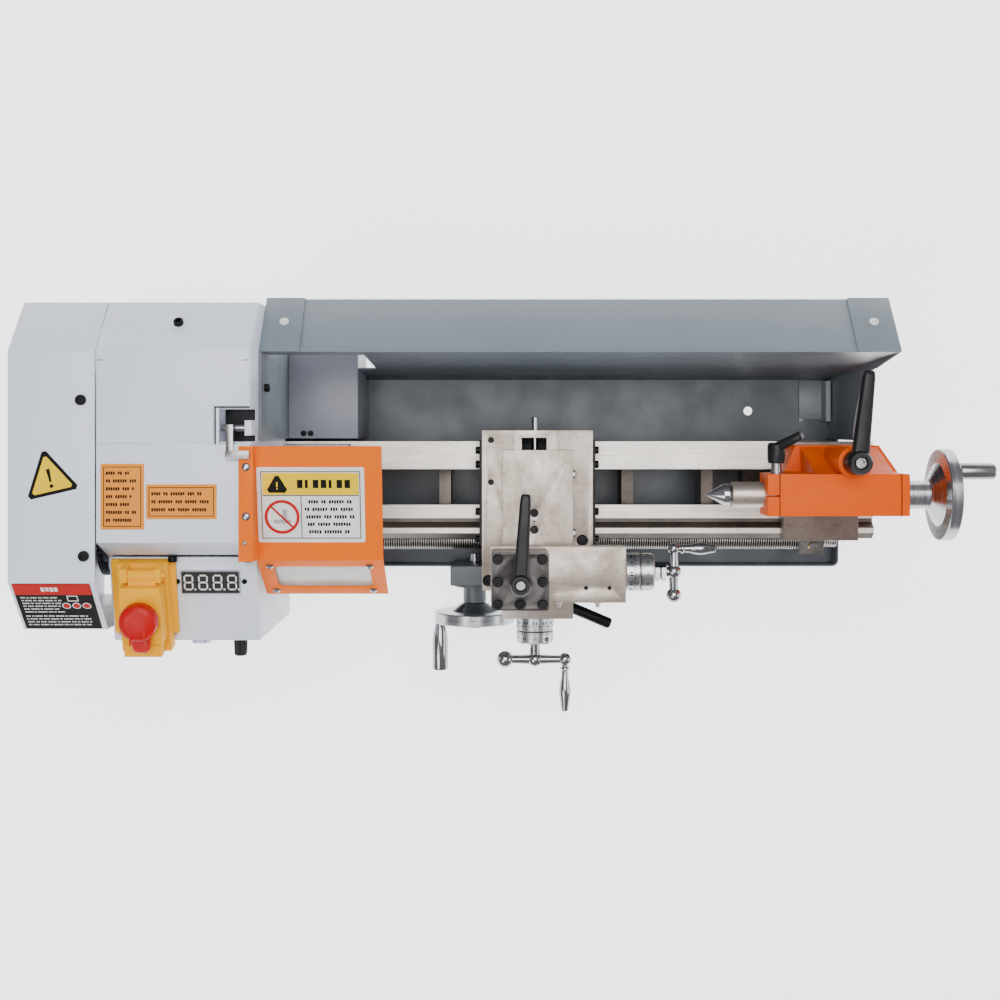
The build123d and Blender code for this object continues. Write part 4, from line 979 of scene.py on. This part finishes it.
screw_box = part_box("leadscrew")
screw_end = screw_box[1].x - screw_box[0].x
levels = [(0, 0.0055), (0.0005, 0.0060), (0.0400, 0.0060), (0.0402, 0.0080), (0.0600, 0.0080)]
levels += threaded_levels(THREAD_START, screw_end - 0.0240, 0.0080, THREAD_PITCH, 0.0012)
levels += [(screw_end - 0.0238, 0.0062), (screw_end - 0.0006, 0.0062), (screw_end, 0.0056)]
bar = moved(stack(levels, 24), aim((screw_box[0].x, SCREW_Y, SCREW_Z), ALONG))
rim = bare_gear("leadscrew", 0.0085, (SCREW_Y, SCREW_Z))
stand_in("leadscrew", "leadscrew_threaded", [bar, rim], "thread", 30)
cup = [(0, 0.0036), (0.0003, 0.0038), (0.0012, 0.0038), (0.0015, 0.0032), (0.0009, 0.0018), (0.0009, 0.0001)]
piece("screw_oiler", [moved(stack(cup, 28), aim(mm(284, -51, 87.2), UP))], "root", "brass")

# ---- carriage -----------------------------------------------------------------------------------
softened("saddle", "ground_y", 0.6)
softened("apron", "dark_cast", 1.2)
softened("cross_slide", "ground_y", 0.4)
softened("compound_base", "ground_x", 0.5)
softened("top_slide", "ground_x", 0.4)
softened("toolpost", "post", 0.5)


def round_steps(centre, radius, steps=12):
    """Levels of a ball around a height on the axis."""
    levels = []
    for k in range(steps + 1):
        angle = math.pi * k / steps
        levels.append((centre - radius * math.cos(angle), max(radius * math.sin(angle), radius * 0.02)))
    return levels


def marks(origin, axis, radius, count, low, highs, width=0.00028):
    """Tick marks around a drum, some of them longer: highs repeats around the drum."""
    ticks = []
    for k in range(count):
        matrix = aim(origin, axis, 2 * math.pi * k / count)
        high = highs[k % len(highs)]
        ticks.append(block((-width / 2, radius - 0.0001, low), (width / 2, radius + 0.00012, high), matrix))
    return ticks


def drum_print(origin, axis, radius, count, low, high, size=0.0011):
    """Small two-bar figures around a drum, standing in for its numbers."""
    figures = []
    for k in range(count):
        turn = 2 * math.pi * (k + 0.02) / count
        for side in (-0.7, 0.7):
            matrix = aim(origin, axis, turn + side * size / radius)
            near, far = (-size * 0.3, radius - 0.0001, low), (size * 0.3, radius + 0.0001, high)
            figures.append(block(near, far, matrix))
    return figures


def crank_handle(hub, axis, side, radii, reaches, end):
    """Three balls on a tapered bar, with a turned grip on the one to the side."""
    hub = Vector(hub)
    side = Vector(side)
    near, far = hub - side * reaches[0], hub + side * reaches[1]
    parts = []
    for centre, radius in zip((hub, near, far), radii):
        parts.append(shaft(centre, axis, round_steps(0, radius, 20)))
    bar = [(-reaches[0], 3.5), (-reaches[0] * 0.5, 3.6), (-4, 4.0), (4, 4.0)]
    bar += [(reaches[1] * 0.5, 3.5), (reaches[1], 3.2)]
    parts.append(shaft(hub, side, bar))
    size = radii[2]
    grip = [(size - 1.2, 2.4), (size + 0.6, 2.5), (size + 1.4, 3.7), (size + 2.6, 3.9), (size + 3.6, 2.9)]
    body = ((0.18, 3.2), (0.30, 4.1), (0.42, 4.7), (0.52, 4.9), (0.64, 4.6), (0.78, 3.8), (0.92, 3.2))
    for share, radius in (*body, (0.98, 2.9), (1, 2.1)):
        grip.append((size + 3.6 + (end - size - 3.6) * share, radius))
    parts.append(shaft(far, axis, grip))
    return parts


DRUM_R = 0.0150
RING_R = 0.01525


def graduated_drum(name, origin, axis, body, drum, figures_at):
    """Dial with fifty marks, every fifth one long, and ten figures; drum is its profile along the axis."""
    piece(f"{name}_dial", [shaft(origin, axis, drum, 72)], body, "dial", 30)
    start = drum[0][0] * MM
    short = start + 0.0020
    highs = (start + 0.0036, short, short, short, short)
    ticks = marks(origin * MM, axis, DRUM_R, 50, start + 0.0005, highs)
    ticks += drum_print(origin * MM, axis, DRUM_R, 10, figures_at, figures_at + 0.0020)
    piece(f"{name}_dial_marks", ticks, body, "ink")


def fixed_ring(name, origin, axis, body, ring, large_at, small_at, mark_at):
    """Ring beside a dial that stays still, with its index marks and two rows of figures."""
    piece(f"{name}_ring", [shaft(origin, axis, ring, 72)], body, "dial", 30)
    ticks = marks(origin * MM, axis, RING_R, 12, mark_at, (mark_at + 0.0022,), 0.0004)
    ticks += drum_print(origin * MM, axis, RING_R, 12, large_at, large_at + 0.0022, 0.0016)
    ticks += drum_print(origin * MM, axis, RING_R, 24, small_at, small_at + 0.0011, 0.0010)
    piece(f"{name}_ring_marks", ticks, body, "ink")


CROSS = Vector((40.6, 61.3, 142))
rod = [(0, 2.1), (0.5, 2.6), (27.3, 2.6), (27.4, 4.0), (155.3, 4.0), (155.4, 4.4), (201.9, 4.4)]
parts = [shaft(CROSS, FRONT, rod)]
parts += crank_handle((40.6, -140.6, 142), FRONT, ALONG, (6.2, 7.0, 5.4), (24.9, 24.9), 43.2)
stand_in("cross_crank", "cross_crank_turned", parts, "chrome")
drum = [(177.4, 13.8), (177.8, 15.0), (186.2, 15.0), (187.5, 13.9), (187.5, 8.5), (186.9, 8.2), (186.9, 4.6)]
graduated_drum("cross", CROSS, FRONT, "cross_handle", drum, 0.1820)
pin = aim(CROSS * MM, FRONT, math.radians(-38))
levels = [(0, 0.0019), (0.0005, 0.0019), (0.0006, 0.0016), (0.0006, 0.0009, 6), (0.0002, 0.0009, 6)]
screw = moved(stack(levels, 24), aim(pin @ Vector((0, 0.0147, 0.1836)), pin.to_3x3() @ Vector(BACK)))
piece("cross_dial_screw", [screw], "cross_handle", "oxide")
ring = [(165.9, 15.02), (166.2, 15.25), (176.4, 15.25), (176.9, 14.9)]
fixed_ring("cross", CROSS, FRONT, "cross_unit", ring, 0.1690, 0.1722, 0.1742)

TOP = Vector((14, -63.3, 182))
rod = [(0, 3.1), (0.4, 3.5), (92, 3.5), (92.1, 4.0), (137.2, 4.0)]
parts = [shaft(TOP, ALONG, rod)]
for low in (121.4, 126.4):
    nut = [(low, 5.6), (low + 0.5, 6.5, 6), (low + 4.1, 6.5, 6), (low + 4.6, 5.6)]
    parts.append(shaft(TOP, ALONG, nut, 48))
parts += crank_handle((151.2, -63.3, 182), ALONG, BACK, (6.0, 5.9, 4.6), (18.9, 18.5), 33.6)
stand_in("compound_crank", "compound_crank_turned", parts, "chrome")
drum = [(109.5, 13.8), (109.9, 15.0), (119.6, 15.0), (120.8, 13.9), (120.8, 7.6), (120.3, 7.4), (120.3, 4.2)]
graduated_drum("compound", TOP, ALONG, "top_handle", drum, 0.1143)
ring = [(98.2, 15.02), (98.5, 15.25), (108.7, 15.25), (109.1, 14.9)]
fixed_ring("compound", TOP, ALONG, "top_unit", ring, 0.1010, 0.1043, 0.1064)

# Way wipers at both ends of the saddle, with their screws, and the saddle's own bolts.
saddle_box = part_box("saddle")
wipers = []
wiper_screws = []
for face, way in ((saddle_box[0].x, -1), (saddle_box[1].x, 1)):
    rings = []
    for x, inset in ((face - way * 0.0001, 0), (face + way * 0.0017, 0), (face + way * 0.0021, 0.0004)):
        low_y, high_y = -0.0450 + inset, 0.0420 - inset
        low, high = 0.1245 + inset, 0.1425 - inset
        rings.append([(x, low_y, low), (x, high_y, low), (x, high_y, high), (x, low_y, high)])
    wipers.append(loft(rings))
    for y in (33.5, 21.5, -18.0, -41.0):
        wiper_screws.append(cap_screw((face + way * 0.0020, y * MM, 0.1315), (way, 0, 0), 0.0031, 0.0036))
piece("saddle_wipers", wipers, "carriage", "rubber")
piece("saddle_wiper_screws", wiper_screws, "carriage", "oxide")
bolts = [top_screw("saddle", x, y, 0.0044, 0.0030) for x, y in ((0.080, -0.0415), (0.002, -0.075))]
bolts += [cap_screw(mm(4, y, 140), UP, 0.0024, 0.0024) for y in (42, 7)]
piece("saddle_bolts", bolts, "carriage", "oxide")

cross_bolts = [cap_screw(mm(39.6, y, 157), UP, 0.0033, 0.0029) for y in (-17.6, -31.4)]
cross_bolts.append(moved(stack([(0, 0.0009), (0.0003, 0.0008)], 16), aim(mm(39.6, -24.5, 160), UP)))
piece("cross_slide_bolts", cross_bolts, "cross_unit", "oxide")
gib_nuts = []
for y in (14.1, -34.5):
    levels = [(-0.1, 2.8, 6), (2.0, 2.8, 6), (2.3, 2.4), (2.3, 1.5), (3.1, 1.4), (3.3, 1.1)]
    gib_nuts.append(shaft((71.5, y, 151), ALONG, levels, 36))
for x in (58.9, 90.1):
    levels = [(-0.1, 2.6, 6), (1.6, 2.6, 6), (1.9, 2.3), (1.9, 1.5), (4.6, 1.5), (4.8, 1.2)]
    held = shaft((x, -87.3, 182), FRONT, levels, 36)
    piece(f"top_gib_nut_{int(x)}", [held], "top_unit", "steel")
piece("cross_gib_nuts", gib_nuts, "cross_unit", "steel")
small = [cap_screw(mm(x, -75.6, 188.4), UP, 0.0016, 0.0012) for x in (80.2, 99)]
piece("top_slide_screws", small, "top_unit", "oxide")

# Tool post clamp screws.
post_bolts = []
post_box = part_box("toolpost_screws")
centre = (post_box[0] + post_box[1]) / 2
step = (post_box[1].x - post_box[0].x) / 2 - 0.004
for sx in (-1, 0, 1):
    for sy in (-1, 0, 1):
        if sx or sy:
            spot = Vector((centre.x + sx * step, centre.y + sy * step, 0.232))
            post_bolts.append(cap_screw(spot, UP, 0.0039, 0.0039))
            post_bolts.append(moved(stack([(-0.0146, 0.0028), (0.0001, 0.0029)], 24), aim(spot, UP)))
stand_in("toolpost_screws", "toolpost_cap_screws", post_bolts, "oxide", 32)

# Dark lining of the pocket behind the cross slide, painted shade for its deep hollow, with its two socket
# screws.
pocket_shade = [block(mm(29.7, 33.2, 136.05), mm(49.8, 43.8, 136.4))]
for x_low, x_high, y_low, y_high in ((29.6, 29.9, 33.2, 43.8), (49.6, 49.9, 33.2, 43.8),
                                     (29.9, 35.2, 43.6, 43.9), (46, 49.6, 43.6, 43.9)):
    pocket_shade.append(block(mm(x_low, y_low, 136.4), mm(x_high, y_high, 152)))
piece("pocket_painted_shade", pocket_shade, "carriage", "oxide")
pocket_screws = [cap_screw(mm(x, 43.6, 144), FRONT, 0.0024, 0.0030) for x in (32.7, 47.8)]
piece("pocket_screws", pocket_screws, "carriage", "oxide")

# ---- levers, wheels and tailstock ---------------------------------------------------------------
def clamp_handle(node, start, tip, widths, heights, hub_levels):
    """Moulded lever: stepped hub on its stud and a tapered arm."""
    arm = tapered_arm(start, tip, widths, heights)
    hub = shaft((start.x / MM, start.y / MM, 0), UP, hub_levels, 48)
    stand_in(node, f"{node}_moulded", [arm, hub], "black")


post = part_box("toolpost")
post_x = (post[0].x + post[1].x) / 2
post_y = (post[0].y + post[1].y) / 2
post_hub = [(236.5, 6.5), (236.7, 7.9), (240, 8.2), (256, 8.2), (260.5, 8.0), (262, 6.9), (262, 4.4)]
post_hub.append((259.4, 4.2))
post_tip = Vector((0.0309, post_y + 0.0684, 0.2562))
clamp_handle("toolpost_lever", Vector((post_x, post_y, 0.2552)), post_tip, (0.0116, 0.0078),
             (0.0086, 0.0068), post_hub)
socket = cap_screw((post_x, post_y, 0.2592), UP, 0.0039, 0.0022)
piece("toolpost_lever_screw", [socket], "post_lever", "chrome")

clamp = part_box("tail_clamp_lever")
clamp_x = clamp[0].x + 0.0095
clamp_y = clamp[0].y + 0.0095
swing = math.radians(6.1)
clamp_tip = Vector((clamp_x + 0.0700 * math.sin(swing), clamp_y + 0.0700 * math.cos(swing), 0.2525))
clamp_hub = [(236.5, 7.4), (236.8, 9.0), (241, 9.5), (252, 9.5), (256.4, 9.1), (258, 7.8), (258, 5.1)]
clamp_hub.append((255.2, 4.8))
clamp_handle("tail_clamp_lever", Vector((clamp_x, clamp_y, 0.2515)), clamp_tip, (0.0134, 0.0088),
             (0.0092, 0.0070), clamp_hub)
stud = moved(stack([(0.222, 0.005), (0.2372, 0.005)], 32), Matrix.Translation((clamp_x, clamp_y, 0)))
piece("tail_clamp_stud", [stud], "clamp_lever", "steel")
socket = cap_screw((clamp_x, clamp_y, 0.2550), UP, 0.0046, 0.0026)
piece("tail_clamp_screw", [socket], "clamp_lever", "chrome")

lock_start = mm(225, 37, 225.5)
lock_tip = lock_start + Vector((15, 9, 13)).normalized() * 0.0240
arm = tapered_arm(lock_start, lock_tip, (0.0076, 0.0062), (0.0086, 0.0070))
hub = [(0.0, 5.4), (0.4, 6.2), (4.5, 6.8), (13.5, 6.8), (15.2, 6.2), (16.0, 5.0), (16.0, 3.2), (14.0, 3.0)]
parts = [arm, shaft((225, 25, 225.5), BACK, hub, 48)]
stand_in("quill_lock_lever", "quill_lock_moulded", parts, "black")
stud = shaft((225, 9.6, 225.5), BACK, [(0, 4.0), (15.6, 4.0)])
piece("quill_lock_stud", [stud], "quill_lever", "steel")

softened("tailstock_body", "orange_cast", 0.9)
softened("tailstock_base", "iron", 0.5)


def dark_seam(x, low_z):
    """Fine parting line round the top and both sides of the barrel casting."""
    line, proud = 0.00035, 0.00012
    low_y, high_y, high_z = -0.0155, 0.0168, 0.232
    top = block((x - line, low_y, 0), (x + line, high_y, proud), Matrix.Translation((0, 0, high_z)))
    front = block((x - line, low_y - proud, low_z), (x + line, low_y, high_z + proud))
    rear = block((x - line, high_y, low_z), (x + line, high_y + proud, high_z + proud))
    return [top, front, rear]


seams = dark_seam(0.2266, 0.196) + dark_seam(0.3203, 0.192)
piece("tailstock_seams", seams, "tailstock", "ink")

# Quill with its scale, dead centre, wheel and grip.
quill_marks = []
quill_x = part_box("quill")[0].x
for k in range(22):
    for step in range(11 if k % 5 == 0 else 6):
        turn = math.pi / 2 - 0.15 + step * 0.06
        matrix = aim((quill_x + 0.004 + k * 0.001, 0, 0.210), ALONG, turn)
        quill_marks.append(block((-0.00031, 0.0099, 0), (0.00031, 0.01001, 0.00022), matrix))
softened("quill", "ground_x", 0.4, 30)
piece("quill_scale", quill_marks, "tail_quill", "ink")
point = [(0, 0.15), (0.3, 0.35), (13.8, 8.1), (14.2, 8.2), (17.9, 8.2), (18.3, 8.0), (20.2, 7.3)]
point = shaft((172.6, 0, 210), ALONG, [*point, (20.4, 5.5), (40, 5.45)], 64)
stand_in("tail_center", "tail_center_turned", [point], "polish", 20)

wheel = [(-65, 4.4), (-64.6, 4.8), (-0.2, 4.8), (0, 10.8), (0.4, 11.2), (19.6, 11.2), (20.6, 12.2)]
wheel += [(26.2, 23.6), (27.0, 24.8), (27.6, 35.2), (28.4, 36), (36.2, 36), (37, 35.2), (37, 28.4)]
wheel += [(36.6, 27.8), (33.4, 26), (33, 25.2), (33, 9.6), (33.4, 9), (37.6, 8), (38, 7.4)]
pin = shaft((360, 19, 230), ALONG, [(0, 2.5), (31, 2.5)], 24)
parts = [shaft((327, 0, 210), ALONG, wheel, 96), pin]
stand_in("tail_handwheel", "tail_wheel_turned", parts, "wheel_x", 28)
grip = [(0, 4.8), (0.5, 5.6), (1.2, 6.2), (2.0, 6.4), (25.6, 6.4), (26.8, 6.1), (27.6, 5.2), (27.6, 2.9)]
grip = shaft((364.4, 19, 230), ALONG, [*grip, (27.0, 2.6)], 48)
stand_in("tail_grip", "tail_grip_turned", [grip], "steel", 30)

# Carriage handwheel, its grip and the half-nut lever.
wheel = [(0, 3.5), (0.4, 4), (43.2, 4), (43.3, 11.4), (43.9, 12), (49.4, 20.4), (50.0, 21.2), (50.5, 34.2)]
wheel += [(51.3, 35), (59.6, 35), (60.5, 34.2), (60.5, 25.4), (60.1, 24.8), (56.4, 21), (56, 20.2)]
wheel += [(56, 9.6), (56.4, 9), (64.4, 8.2), (65, 7.6)]
pin = shaft((-41, -116, 78), FRONT, [(0, 2.5), (43, 2.5)], 24)
parts = [shaft((-10.7, -58, 78), FRONT, wheel, 96), pin]
stand_in("handwheel", "handwheel_turned", parts, "wheel_y", 28)
grip = [(0, 3.8), (0.5, 4.4), (3, 4.9), (9, 6.1), (16, 6.9), (39.5, 6.9), (41, 6.5), (41.5, 5.6), (41.5, 2.9)]
grip = shaft((-41, -118.8, 78), FRONT, [*grip, (40.9, 2.6)], 48)
stand_in("handwheel_grip", "handwheel_grip_turned", [grip], "chrome", 30)

boss = [(0, 8.6), (0.8, 9.5), (14.6, 9.5), (15.6, 8.4), (15.6, 4.6), (14.2, 4.2)]
parts = [shaft((58, -90.4, 85), FRONT, boss, 48), shaft((58, -64, 85), FRONT, [(0, 5), (30, 5)])]
rod = [(0, 4.8), (49.6, 4.8), (51.2, 4.2), (52, 3.0)]
parts.append(shaft((60, -99, 85), Vector((47.6, -19.5, 5)).normalized(), rod))
stand_in("half_nut_lever", "half_nut_lever_turned", parts, "oxide", 30)
